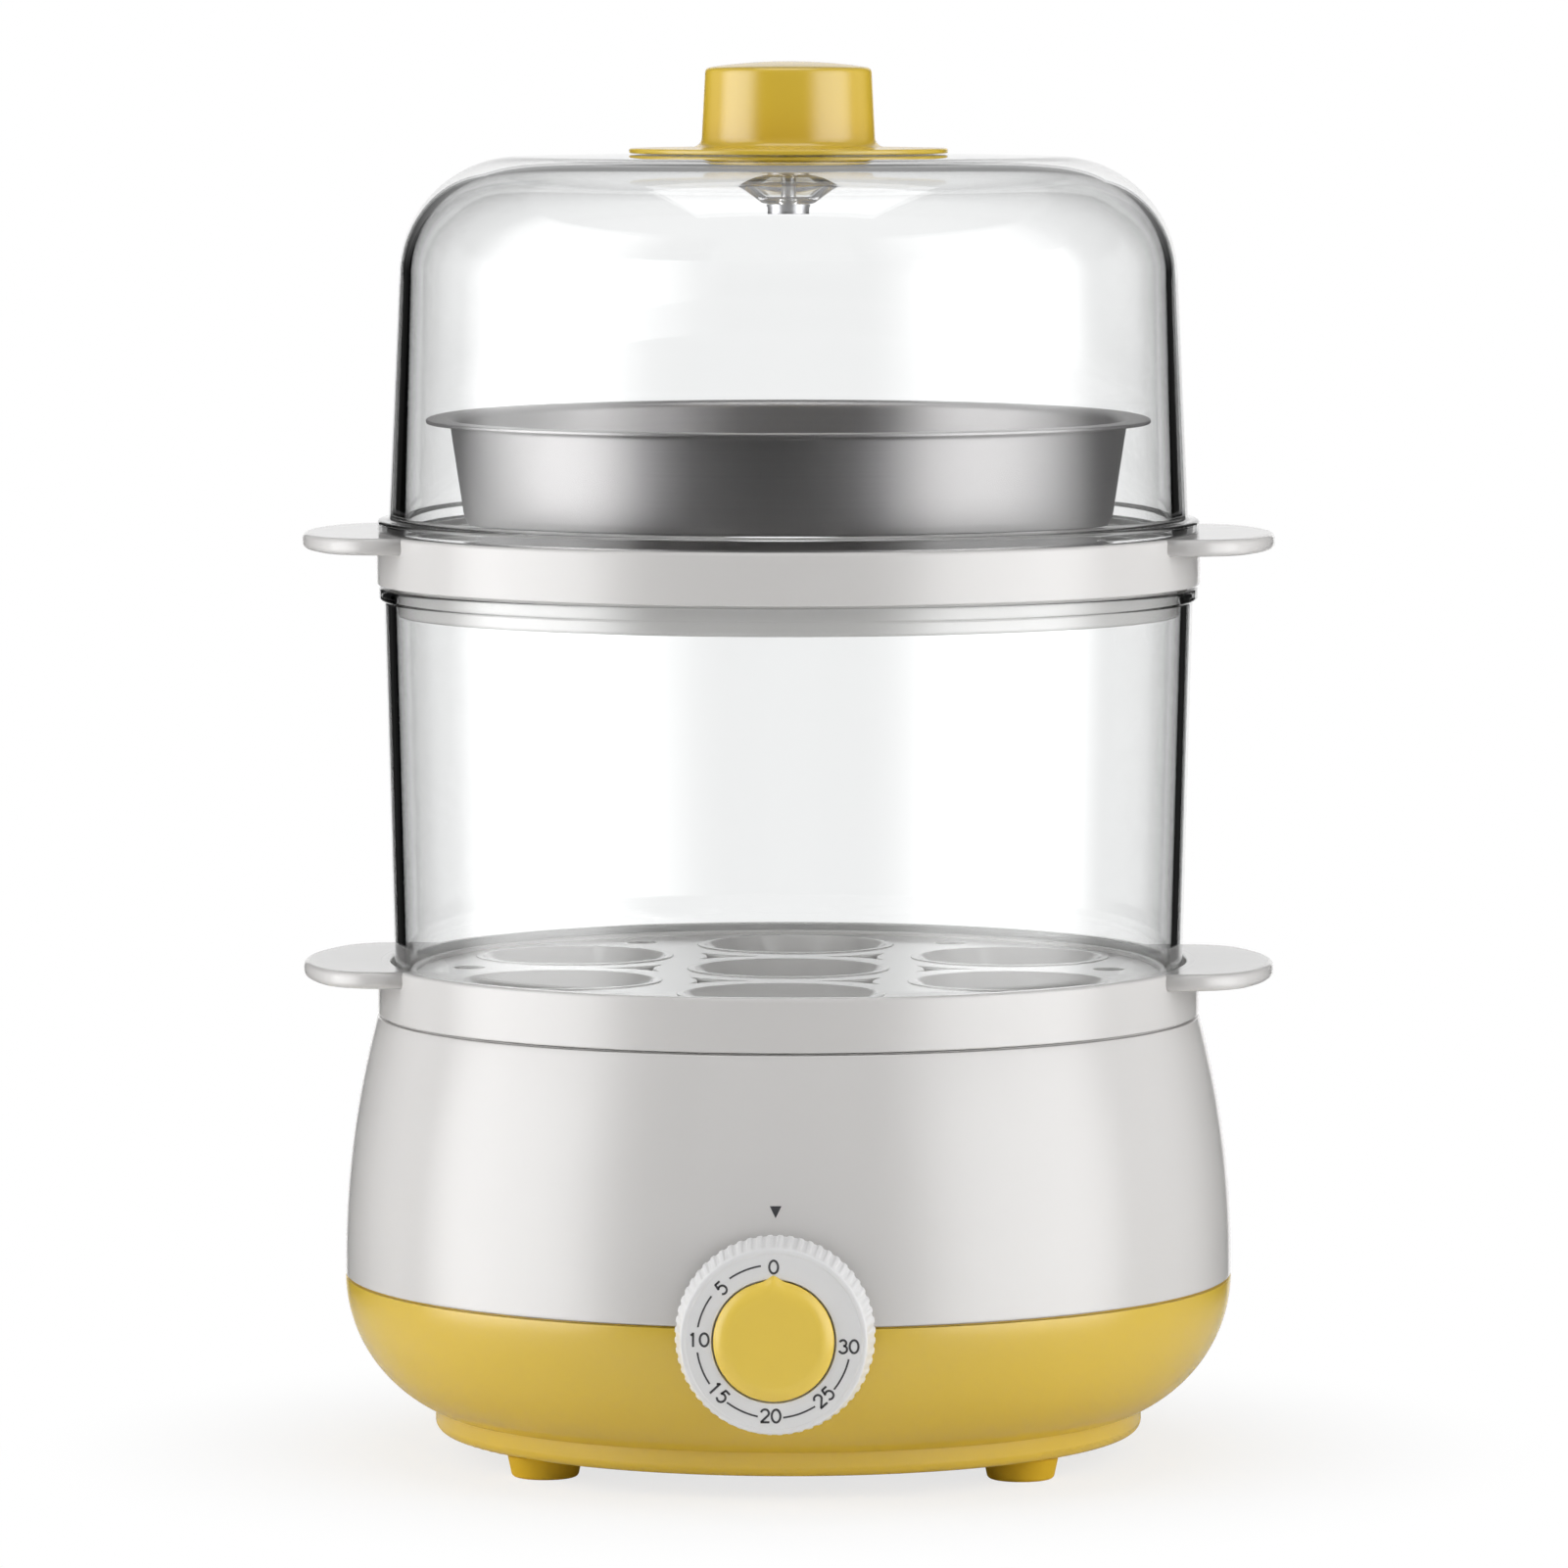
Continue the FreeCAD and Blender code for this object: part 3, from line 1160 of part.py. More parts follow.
# Mainspring: flat spiral round the shaft.
turns = number("spring_turns")
strip = number("spring_strip")
steps = int(46 * turns)
inside = []
outside = []
for i in range(steps + 1):
    angle = 2 * math.pi * turns * i / steps
    radius = number("shaft_r + spring_gap") + number("spring_pitch") * turns * i / steps
    inside.append(FreeCAD.Vector(radius * math.cos(angle), radius * math.sin(angle), 0))
    outside.append(FreeCAD.Vector((radius + strip) * math.cos(angle), (radius + strip) * math.sin(angle), 0))
near = Part.BSplineCurve()
near.interpolate(inside)
far = Part.BSplineCurve()
far.interpolate(outside)
loop = Part.Wire([near.toShape(), Part.makeLine(inside[-1], outside[-1]), far.toShape(),
                  Part.makeLine(outside[0], inside[0])])
spring = doc.addObject("Part::Feature", "mainspring")
spring.Shape = Part.Face(loop).extrude(FreeCAD.Vector(0, 0, number("spring_wide")))
place(spring, "0", "-(" + back_y + " + spring_step)", DIAL_Z, FORWARD)
keep("mainspring", spring)

# Terminal block on the plinth, its screws, and the cord gland in the rear wall.
terminal = block("terminal_body", "block_long", "block_wide", "block_high", "0", "block_y", COVER_Z)
wire_z = COVER_Z + " + wire_rise"
sink_z = COVER_Z + " + block_high - clamp_sink"
terminal_cuts = []
screws = []
for i, step in enumerate(("-1", "0", "1")):
    x = step + " * block_step"
    terminal_cuts.append(cylinder("wire_hole_%d" % i, "lead_r + wire_gap", "block_wide",
                                  x, "block_y + block_wide / 2", wire_z, FORWARD))
    terminal_cuts.append(cylinder("screw_well_%d" % i, "clamp_screw_r + close_gap", "clamp_sink",
                                  x, "block_y", sink_z))
    screws.append(cylinder("clamp_screw_%d" % i, "clamp_screw_r", "clamp_screw_height", x, "block_y", sink_z))
keep("terminal_block", cut_from("terminal_block", terminal, terminal_cuts))
keep("terminal_screws", group("terminal_screws", screws))
gland_start = gland_in + " - gland_collar"
sleeve = [
    cylinder("gland_neck", "gland_neck_r", "gland_boss_depth", "0", gland_in, GLAND_Z, BACKWARD),
    cylinder("gland_flange", "gland_flange_r", "gland_flange_height", "0", gland_out, GLAND_Z, BACKWARD),
    cylinder("gland_inner_flange", "gland_flange_r", "gland_collar", "0", gland_start, GLAND_Z, BACKWARD),
]
gland_long = "gland_collar + gland_boss_depth + gland_flange_height"
bore = cylinder("gland_bore", "gland_bore_r", gland_long, "0", gland_start, GLAND_Z, BACKWARD)
keep("cord_gland", cut_from("cord_gland", joined("gland_blank", sleeve), [bore]))


def lead(name, stops):
    """A wire through stops: straight runs joined by tangent bends."""
    spots = [FreeCAD.Vector(*[number(value) for value in stop]) for stop in stops]
    bend = number("lead_bend")
    edges = []
    last = spots[0]
    for i in range(1, len(spots) - 1):
        back = (spots[i - 1] - spots[i]).normalize()
        ahead = (spots[i + 1] - spots[i]).normalize()
        half = back.getAngle(ahead) / 2
        run = bend / math.tan(half)
        enter = spots[i] + back * run
        leave = spots[i] + ahead * run
        split = (back + ahead).normalize()
        middle = spots[i] + split * (bend / math.sin(half) - bend)
        edges.append(Part.makeLine(last, enter))
        edges.append(Part.Arc(enter, middle, leave).toShape())
        last = leave
    edges.append(Part.makeLine(last, spots[-1]))
    path = Part.Wire(edges)
    start = (spots[1] - spots[0]).normalize()
    section = Part.Wire(Part.makeCircle(number("lead_r"), spots[0], start))
    item = doc.addObject("Part::Feature", name)
    item.Shape = path.makePipeShell([section], True, True)
    return item


# Internal leads: terminal, timer, thermostat, heater, fuse and back to the terminal.
wire_y = "block_y - block_wide / 4"
front_y = "block_y - block_wide / 2 - 12"
tab_y = "-" + back_y + " + lead_tab"
rise_y = tab_y + " + lead_reach"
fall_y = tab_y + " + lead_reach + lead_bend"
pin_x, pin_y = spoke("heater_r", 90 - LEG_GAP / 2)
aisle = "heater_r * 0.53"
wires = [
    [("-block_step", wire_y, wire_z), ("-block_step", front_y, wire_z), ("-4", rise_y, wire_z),
     ("-4", rise_y, leaf_z + " + 0.2"), ("-4", tab_y, leaf_z + " + 0.2")],
    [("4", tab_y, leaf_z + " + 2"), ("4", fall_y, leaf_z + " + 2"),
     ("0", "-blade_offset", blade_z + " - 9"), ("0", "-blade_offset", blade_z)],
    [("0", "blade_offset", blade_z), ("0", "blade_offset", blade_z + " - 10"), (pin_x, pin_y, pin_z + " - 9"),
     (pin_x, pin_y, pin_z)],
    [("-" + pin_x, pin_y, pin_z), ("-" + pin_x, pin_y, pin_z + " - 9"),
     ("-" + aisle, fuse_y, pin_z + " - 9"), ("-" + aisle, fuse_y, fuse_z),
     ("-fuse_length / 2", fuse_y, fuse_z)],
    [("fuse_length / 2", fuse_y, fuse_z), (aisle, fuse_y, fuse_z), (aisle, fuse_y, wire_z + " + 12"),
     ("block_step", front_y, wire_z), ("block_step", wire_y, wire_z)],
]
leads = [lead("lead_%d" % i, stops) for i, stops in enumerate(wires)]
keep("internal_leads", group("internal_leads", leads))

# Checks, then one file for each piece.
doc.recompute()
for item in doc.Objects:
    if "Invalid" in item.State or "Error" in item.State or "Touched" in item.State:
        raise RuntimeError("%s is %s" % (item.Label, item.State))
for name, item in PARTS.items():
    if item.Shape.isNull() or not item.Shape.isValid() or not item.Shape.Solids:
        raise RuntimeError("%s has no sound shape" % name)
os.makedirs("parts", exist_ok=True)
for name, item in PARTS.items():
    item.Shape.exportStep(os.path.join("parts", name + ".step"))
    print(name, len(item.Shape.Solids), round(item.Shape.Volume))
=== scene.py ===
"""Two-tier egg cooker: moulded shells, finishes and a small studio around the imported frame.

Lengths are in millimetres until a surface becomes a mesh. +Z is up and the dial faces -Y.
"""
import json
import math
import bpy
import numpy as np
from mathutils.geometry import delaunay_2d_cdt
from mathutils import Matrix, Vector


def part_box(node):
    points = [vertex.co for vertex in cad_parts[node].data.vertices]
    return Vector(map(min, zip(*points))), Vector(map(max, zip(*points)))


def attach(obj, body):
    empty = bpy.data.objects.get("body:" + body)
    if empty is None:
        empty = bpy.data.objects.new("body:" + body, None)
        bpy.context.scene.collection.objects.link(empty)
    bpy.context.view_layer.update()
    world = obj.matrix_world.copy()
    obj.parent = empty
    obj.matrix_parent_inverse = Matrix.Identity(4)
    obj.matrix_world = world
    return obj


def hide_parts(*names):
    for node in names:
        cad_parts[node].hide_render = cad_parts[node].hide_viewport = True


MM = 0.001
TINY = 1e-6
# Points round a turned piece, and the distance of a guard point from each end of a straight side.
TURNS = 216
GUARD = 0.3
# A rounding takes up less than half of each side that it joins.
TRIM_SHARE = 0.49
PLATE_STEPS = 4

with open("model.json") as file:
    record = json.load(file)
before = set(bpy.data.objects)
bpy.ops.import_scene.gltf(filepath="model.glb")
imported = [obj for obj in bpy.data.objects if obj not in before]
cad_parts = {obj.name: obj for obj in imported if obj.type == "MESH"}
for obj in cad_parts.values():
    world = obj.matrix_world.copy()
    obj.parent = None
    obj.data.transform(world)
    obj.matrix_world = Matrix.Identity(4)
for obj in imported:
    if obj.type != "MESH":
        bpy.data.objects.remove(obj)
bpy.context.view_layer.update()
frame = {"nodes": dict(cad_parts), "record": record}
BOXES = {node: [np.array(corner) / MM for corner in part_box(node)] for node in frame["nodes"]}


def low(node):
    """Lowest level of a node."""
    return float(BOXES[node][0][2])


def high(node):
    """Highest level of a node."""
    return float(BOXES[node][1][2])


def reach(node):
    """Largest distance of a node from the upright axis, along X."""
    return float(BOXES[node][1][0])


# Levels of the stack, from the frame.
SHELL_FOOT = low("lower_shell")
RIM = high("upper_housing")
RING_TOP = high("lower_egg_tray")
TIER_FOOT = low("clear_tier")
TIER_TOP = high("clear_tier")
UPPER_TOP = high("upper_egg_tray")
LID_FOOT = low("lid_dome")
LID_TOP = high("lid_dome")
KNOB_TOP = high("lid_knob")
BOWL_FOOT = low("steam_bowl")
BOWL_TOP = high("steam_bowl")
DIAL_REAR = float(BOXES["dial_knob"][1][1])
DIAL_DEPTH = DIAL_REAR - float(BOXES["dial_knob"][0][1])
DIAL_RISE = (low("dial_knob") + high("dial_knob")) / 2

# Roundings that the pieces share, from hidden corners to handled edges.
CRISP = 0.1
FINE = 0.2
SLIGHT = 0.3
EDGE = 0.35
EASED = 0.4
SOFT = 0.5
FULL = 0.6
SMOOTH = 0.7
BROAD = 0.8

# Base shells.
BELLY_R = reach("lower_shell")
PLINTH_R = reach("bottom_cover")
SEAM = 36.4
BELLY_FLAT = 3.0
BELLY_STOP = 1.2
RIM_R = 83.3
WELL_R = 79.6
WELL_DEPTH = 10.6
SHELF_WALL = 2.2
SHELF_ROOT = 1.0
SHELF_FREE = 2.0
PLATE_HOLE_R = 61.0
SHELL_WALL = 2.4
SHELL_CURVE = 29.5
SHELL_STEP = 0.6
SHELL_ROOT = 2.0
# Degrees that the shell's arcs leave free at the foot and at the seam.
SHELL_OUTER_FREE = (1.5, 1.0)
SHELL_INNER_FREE = (3.0, 2.0)
LIP_R = 58.0
SEAM_GAP = 0.22
LIP_GAP = 0.5
SEAM_DEPTH = 1.3

# Egg trays.
RING_HEIGHT = RING_TOP - RIM
RING_WALL = 2.6
SKIRT_R = 79.0
SKIRT_WALL = 2.0
SKIRT_DEPTH = RIM - low("lower_egg_tray")
GROOVE_FLOOR = TIER_FOOT - RIM
GROOVE_WEB = 2.0
COLLAR_R = 76.8
COLLAR_WALL = 1.6
COLLAR_LIP = 0.8
FLOOR_LEVEL = 9.0
FLOOR_WALL = 2.0
FLOOR_EDGE = 0.4
FLOOR_LAP = 0.2
SEAT_PITCH = 52.0
SEAT_R = 19.0
SEAT_HOLE_R = 11.0
SEAT_WALL = 1.6
SEAT_RIM = 0.2
SEAT_ROUND = 1.0
SEAT_DEPTH = 6.4
SEAT_STEP = 0.4
SEAT_LAP = 0.3
SEAT_TURNS = 96
VENT_REACH = 8.0
VENT_CURVE = 16.0
VENT_HOLE_R = 3.0
VENT_HOLE_PITCH = 65.0
TAB_REACH = reach("lower_egg_tray")
TAB_HALF = 33.5
TAB_CORNER = 13.0
TAB_TIP = 62.0
TAB_HEIGHT = 3.4
TAB_ROUND = 1.2
TAB_ROOT = 2.2
TAB_DROP = 0.02

# Clear pieces and the bowl.
CLEAR_WALL = 2.3
TIER_FOOT_R = 79.8
TIER_TOP_R = 81.8
TIER_LIP_R = reach("clear_tier")
TIER_LIP_HEIGHT = 2.6
SPIGOT_R = 80.1
SPIGOT_HEIGHT = 3.6
LID_FLANGE_R = reach("lid_dome")
LID_FLANGE_HEIGHT = 2.6
DOME_FOOT_R = 80.8
SHOULDER_R = 78.6
SHOULDER_CURVE = 24.3
SHOULDER_TURN = 88.0
CROWN_RISE = 0.6
# The crown's curve starts this far inside the shoulder and stops this far from the dimple.
CROWN_START = 2.0
CROWN_STOP = 1.5
DIMPLE_TOP_R = 8.2
DIMPLE_FOOT_R = 4.4
DIMPLE_SPREAD = 0.6
DIMPLE_DEPTH = 6.0
DIMPLE_HOLE_R = 1.8
DIMPLE_ROUND = 3.0
DIMPLE_UNDER = 2.5
DIMPLE_BROW = 1.5
BOWL_RIM_R = reach("steam_bowl")
BOWL_TOP_R = 68.5
BOWL_FOOT_R = 65.0
BOWL_ROUND = 6.0
BOWL_WALL = 0.8
BOWL_BEND = 1.2
BOWL_BROW = 1.8
BOWL_STEPS = 10

# Knob, dial and feet.
KNOB_PLATE_R = reach("lid_knob")
KNOB_PLATE_EDGE = 1.0
KNOB_PLATE_FLAT = 10.0
KNOB_PLATE_RISE = 0.3
KNOB_FILLET = 2.0
KNOB_FOOT_R = 17.6
KNOB_TOP_R = 16.8
KNOB_HEIGHT = 17.2
KNOB_ROUND = 1.4
KNOB_DROP = 0.1
KNOB_CROWN = KNOB_TOP - LID_TOP - KNOB_HEIGHT
KNOB_CROWN_INSET = 1.6
KNOB_WALL = 2.2
DIAL_R = 19.5
DIAL_WALL = 2.0
DIAL_RIM = 2.0
DIAL_LEAN = 0.25
DIAL_BEVEL = 1.6
DIAL_FACE_R = 18.1
DIAL_BORDER = 0.9
DIAL_BORDER_FOOT = 1.1
DIAL_SINK = 0.12
DIAL_HOLE_R = 12.05
DIAL_HOLE_ROUND = 0.25
DIAL_BORE_R = 6.0
DIAL_WEB_TOP = 1.6
DIAL_WEB_FOOT = 3.4
DIAL_TEETH = 60
DIAL_TOOTH = 0.25
# Points along a tooth, the sharpness of its flanks, and where the teeth begin and fade on the skirt.
TOOTH_STEPS = 12
TOOTH_FLANK = 1.4
TOOTH_START = 0.15
TOOTH_BLEND = 0.4
TOOTH_END = 1.0
TOOTH_FADE = 1.2
CAP_R = 11.7
CAP_NUB = 1.15
CAP_NUB_ANGLE = 0.11
CAP_NUB_POWER = 1.7
CAP_PROUD = 0.04
CAP_EDGE = 3.0
CAP_CURVE = 4.0
CAP_SINK = 1.4
CAP_TURNS = 360
FOOT_X = 47.5
FOOT_Y = 39.9
FOOT_TOP_R = 7.6
FOOT_FOOT_R = 6.6
FOOT_SOLE = 0.9
FOOT_HEIGHT = low("bottom_cover")
FOOT_TURNS = 64

# Print on the dial and the housing.
LABELS = ("0", "5", "10", "15", "20", "25", "30")
LABEL_START = 90.0
LABEL_STEP = 44.4
LABEL_R = 14.5
LABEL_LEANS = (0.0, 43.0, 0.0, -47.0, 0.0, 43.0, 0.0)
DIGIT_HEIGHT = 2.9
DIGIT_PITCH = 2.15
PEN = 0.42
INK = 0.05
ARC_R = 14.9
ARC_GAP = 9.5
ARC_PEN = PEN * 0.8
MARK_LEVEL = 59.2
MARK_WIDTH = 2.3
MARK_HEIGHT = 2.3
MARK_TIP = 0.02
MARK_STEPS = 9


# Surfaces: a surface is (points, faces), with points in millimetres.


def arc(centre, radius, start, stop, steps):
    """Points centre + radius (cos a, sin a) with the angle a going evenly from start to stop, in degrees."""
    return oval(centre, radius, radius, start, stop, steps)


def oval(centre, wide, tall, start, stop, steps=28):
    """Part of an ellipse, from one angle to another in degrees."""
    angle = np.radians(np.linspace(start, stop, steps + 1))
    return np.column_stack((centre[0] + wide * np.cos(angle), centre[1] + tall * np.sin(angle)))


def corners_of(*curve):
    """A dense curve, given as its x and its y, as corners without rounding."""
    return [(x, y, 0.0) for x, y in np.column_stack(curve)]


def about(spots, degrees):
    """Flat points turned about the origin."""
    c = math.cos(math.radians(degrees))
    s = math.sin(math.radians(degrees))
    return np.asarray(spots) @ np.array([[c, s], [-s, c]])


def softened(corners, closed=True, steps=6):
    """Section through corners (x, y, round): each rounded corner becomes an arc tangent to its two sides.

    A long straight side gets a guard point close to each end, so that its shading stays flat.
    """
    spots = np.array([corner[:2] for corner in corners], float)
    rounds = np.array([corner[2] for corner in corners], float)
    count = len(spots)
    runs = []
    for i in range(count):
        if rounds[i] <= 0 or (not closed and i in (0, count - 1)):
            runs.append(spots[i:i + 1])
            continue
        back = spots[i - 1] - spots[i]
        ahead = spots[(i + 1) % count] - spots[i]
        back_run = np.linalg.norm(back)
        ahead_run = np.linalg.norm(ahead)
        back /= back_run
        ahead /= ahead_run
        half = math.acos(np.clip(back @ ahead, -1, 1)) / 2
        trim = min(rounds[i] / math.tan(half), TRIM_SHARE * back_run, TRIM_SHARE * ahead_run)
        radius = trim * math.tan(half)
        split = (back + ahead) / np.linalg.norm(back + ahead)
        centre = spots[i] + split * radius / math.sin(half)
        spoke = spots[i] + back * trim - centre
        side = np.sign(back[1] * ahead[0] - back[0] * ahead[1])
        sweep = side * (math.pi - 2 * half) * np.linspace(0, 1, steps + 1)
        turn_x = spoke[0] * np.cos(sweep) - spoke[1] * np.sin(sweep)
        turn_y = spoke[0] * np.sin(sweep) + spoke[1] * np.cos(sweep)
        runs.append(centre + np.column_stack((turn_x, turn_y)))
    line = []
    for i, run in enumerate(runs):
        line.append(run)
        if not closed and i == count - 1:
            continue
        a = run[-1]
        b = runs[(i + 1) % count][0]
        span = np.linalg.norm(b - a)
        if span > 4 * GUARD:
            inset = (b - a) / span * GUARD
            line.append(np.array([a + inset, b - inset]))
    path = np.vstack(line)
    keep = np.linalg.norm(path - np.roll(path, 1, axis=0), axis=1) > TINY
    if not closed:
        keep[0] = True
    return path[keep]


def sheet_faces(rows, columns, wrap_rows, wrap_columns):
    """Quads of a grid of points, row after row, closed on itself where asked."""
    i = np.arange(rows if wrap_rows else rows - 1)[:, None]
    j = np.arange(columns if wrap_columns else columns - 1)[None, :]
    after_i = (i + 1) % rows
    after_j = (j + 1) % columns
    quads = np.stack((i * columns + j, after_i * columns + j,
                      after_i * columns + after_j, i * columns + after_j), axis=-1)
    return quads.reshape(-1, 4).tolist()


def outward(points, faces):
    """The same surface with its faces turned so that the enclosed volume is positive."""
    corner = [points[[face[k] for face in faces]] for k in range(3)]
    last = points[[face[-1] for face in faces]]
    volume = np.einsum("ij,ij->i", corner[0], np.cross(corner[1], corner[2])).sum()
    volume += np.einsum("ij,ij->i", corner[0], np.cross(corner[2], last)).sum()
    if volume < 0:
        faces = [face[::-1] for face in faces]
    return points, faces


def full_turn(count):
    """Even angles round the axis, in radians."""
    return 2 * np.pi * np.arange(count) / count


def rings(radius, level, angle):
    """Points (r cos a, r sin a, z), ring after ring, for a column of levels z and a grid of radii r."""
    grid = np.broadcast_arrays(radius * np.cos(angle), radius * np.sin(angle), level)
    return np.stack(grid, axis=-1).reshape(-1, 3)


def poled(points, turns, start, stop):
    """Rings of points closed by one pole on the axis at each end, at the levels start and stop."""
    first = len(points)
    end = first - turns
    j = np.arange(turns)
    after = (j + 1) % turns
    faces = sheet_faces(first // turns, turns, False, True)
    faces += np.column_stack((np.full(turns, first), j, after)).tolist()
    faces += np.column_stack((np.full(turns, first + 1), end + after, end + j)).tolist()
    return outward(np.vstack((points, [[0, 0, start], [0, 0, stop]])), faces)


def turned(section, turns=TURNS, closed=True):
    """Surface of revolution: (r cos a, r sin a, z) for every section point (r, z) and angle a.

    An open section starts and ends on the axis, where each end is one pole.
    """
    bands = section if closed else section[1:-1]
    points = rings(bands[:, :1], bands[:, 1:], full_turn(turns))
    if closed:
        return outward(points, sheet_faces(len(bands), turns, True, True))
    return poled(points, turns, section[0, 1], section[-1, 1])


def filled(loops):
    """Triangles between an outer loop and its holes, all counter-clockwise, numbered along the loops.

    The points are joined by a Delaunay mesh that keeps the edges of the loops. A triangle stays where the
    loops wind once round its middle: each edge that crosses the middle's level on its right counts +1 up
    or -1 down.
    """
    spots = np.concatenate(loops)
    starts = np.cumsum([0] + [len(loop) for loop in loops])
    after = np.concatenate([first + np.roll(np.arange(last - first), -1)
                            for first, last in zip(starts[:-1], starts[1:])])
    edges = np.column_stack((np.arange(len(spots)), after)).tolist()
    mesh = delaunay_2d_cdt([Vector(spot) for spot in spots.tolist()], edges, [], 0, TINY)
    number = np.array([sources[0] for sources in mesh[3]])
    triangles = number[np.array(mesh[2])]
    middle = spots[triangles].mean(axis=1)[:, None]
    start = spots - middle
    stop = spots[after] - middle
    right = stop[..., 0] * start[..., 1] - start[..., 0] * stop[..., 1]
    up = (start[..., 1] <= 0) & (stop[..., 1] > 0) & (right < 0)
    down = (start[..., 1] > 0) & (stop[..., 1] <= 0) & (right > 0)
    triangles = triangles[up.sum(axis=1) - down.sum(axis=1) == 1]
    sides = spots[triangles]
    turn = np.cross(sides[:, 1] - sides[:, 0], sides[:, 2] - sides[:, 0])
    triangles[turn < 0] = triangles[turn < 0, ::-1]
    return triangles


def plate(loops, bottom, top, edge):
    """Flat plate between an outer loop and its holes, all counter-clockwise.

    A wall with quarter-round edges is carried round every loop, set into the plate by its inset at each
    level, and the flat faces fill what is left between the walls. A last ring inside each edge keeps them
    flat.
    """
    quarter = np.radians(np.linspace(0, 90, PLATE_STEPS + 1))
    inset = edge * (1 - np.sin(quarter))
    rise = edge * (1 - np.cos(quarter))
    insets = np.concatenate(([edge + GUARD], inset, inset[::-1], [edge + GUARD]))[:, None, None]
    levels = np.concatenate(([bottom], bottom + rise, top - rise[::-1], [top]))[:, None, None]
    walls = []
    for i, loop in enumerate(loops):
        tangent = np.roll(loop, -1, axis=0) - np.roll(loop, 1, axis=0)
        normal = np.column_stack((tangent[:, 1], -tangent[:, 0]))
        normal /= np.linalg.norm(normal, axis=1, keepdims=True)
        flat = loop - insets * (normal if i == 0 else -normal)
        grid = np.concatenate((flat, np.broadcast_to(levels, flat.shape[:2] + (1,))), axis=-1)
        faces = sheet_faces(len(insets), len(loop), False, True)
        walls.append((grid.reshape(-1, 3), faces if i else [face[::-1] for face in faces]))
    points, faces = together(walls)
    starts = np.cumsum([0] + [len(wall) for wall, quads in walls])[:-1]
    counts = [len(loop) for loop in loops]
    for row in (0, len(insets) - 1):
        rims = [start + row * count + np.arange(count) for start, count in zip(starts, counts)]
        fill = np.concatenate(rims)[filled([points[rim, :2] for rim in rims])]
        faces += (fill if row else fill[:, ::-1]).tolist()
    return points, faces


def moved(surface, x=0.0, y=0.0, z=0.0):
    """The surface shifted by a vector."""
    points, faces = surface
    return points + np.array([x, y, z]), faces


def spun(surface, degrees):
    """The surface turned about the upright axis."""
    points, faces = surface
    return np.column_stack((about(points[:, :2], degrees), points[:, 2])), faces


def on_dial(surface):
    """From the dial's own frame, with Z out of its face from the rear rim, to the front of the cooker."""
    points, faces = surface
    x, y, z = points.T
    return np.column_stack((x, DIAL_REAR - z, DIAL_RISE + y)), faces


def together(surfaces):
    """Several surfaces as one."""
    points = []
    faces = []
    start = 0
    for some, quads in surfaces:
        points.append(some)
        faces += [[index + start for index in face] for face in quads]
        start += len(some)
    return np.vstack(points), faces


def put(name, surface, finish, body, nodes=()):
    """A finished piece: its mesh in metres, its finish, its body and the nodes that it stands for."""
    points, faces = surface
    mesh = bpy.data.meshes.new(name)
    mesh.from_pydata((points * MM).tolist(), [], faces)
    mesh.polygons.foreach_set("use_smooth", np.ones(len(faces), bool))
    mesh.materials.append(finish)
    mesh.validate()
    piece = bpy.data.objects.new(name, mesh)
    bpy.context.scene.collection.objects.link(piece)
    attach(piece, body)
    if nodes:
        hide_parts(*nodes)


# Finishes.

# Noise scales, in waves per metre: colour clouds, gloss patches, clouds on metal and haze in clear walls.
CLOUD_SCALE = 22.0
PATCH_SCALE = 60.0
METAL_CLOUD_SCALE = 30.0
HAZE_SCALE = 40.0
HAZE = 0.02
BUMP_DEPTH = 0.0002
RING_TINT = 0.12
CLEAR_TINT = (0.995, 1.0, 1.0, 1.0)
CLEAR_SHADE = (0.93, 0.935, 0.935, 1.0)
CLEAR_IOR = 1.46


def new_group(name, inputs):
    """A shader node group with its inputs, and the outputs that a finish takes; only its ends are in it."""
    group = bpy.data.node_groups.new(name, "ShaderNodeTree")
    for label, kind, value in inputs:
        socket = group.interface.new_socket(label, in_out="INPUT", socket_type="NodeSocket" + kind)
        socket.default_value = value
    for label, kind in (("Colour", "Color"), ("Roughness", "Float"), ("Normal", "Vector")):
        group.interface.new_socket(label, in_out="OUTPUT", socket_type="NodeSocket" + kind)
    given = group.nodes.new("NodeGroupInput")
    made = group.nodes.new("NodeGroupOutput")
    return group, given.outputs, made.inputs


def feed(tree, value, socket):
    """Links a socket to another one, or sets it to a plain number."""
    if isinstance(value, (int, float)):
        socket.default_value = value
    else:
        tree.links.new(value, socket)


def math_node(tree, operation, first, second=None):
    """A Math node fed by sockets or plain numbers; gives its output socket."""
    node = tree.nodes.new("ShaderNodeMath")
    node.operation = operation
    feed(tree, first, node.inputs[0])
    if second is not None:
        feed(tree, second, node.inputs[1])
    return node.outputs[0]


def object_place(tree):
    """Place on the piece, in metres."""
    return tree.nodes.new("ShaderNodeTexCoord").outputs["Object"]


def noise_node(tree, place, scale, detail=2.0, roughness=0.5):
    """Noise between 0 and 1 over a place."""
    node = tree.nodes.new("ShaderNodeTexNoise")
    node.inputs["Detail"].default_value = detail
    node.inputs["Roughness"].default_value = roughness
    feed(tree, scale, node.inputs["Scale"])
    tree.links.new(place, node.inputs["Vector"])
    return node.outputs["Fac"]


def centred(tree, noise):
    """Noise between 0 and 1, moved to lie about 0."""
    return math_node(tree, "SUBTRACT", noise, 0.5)


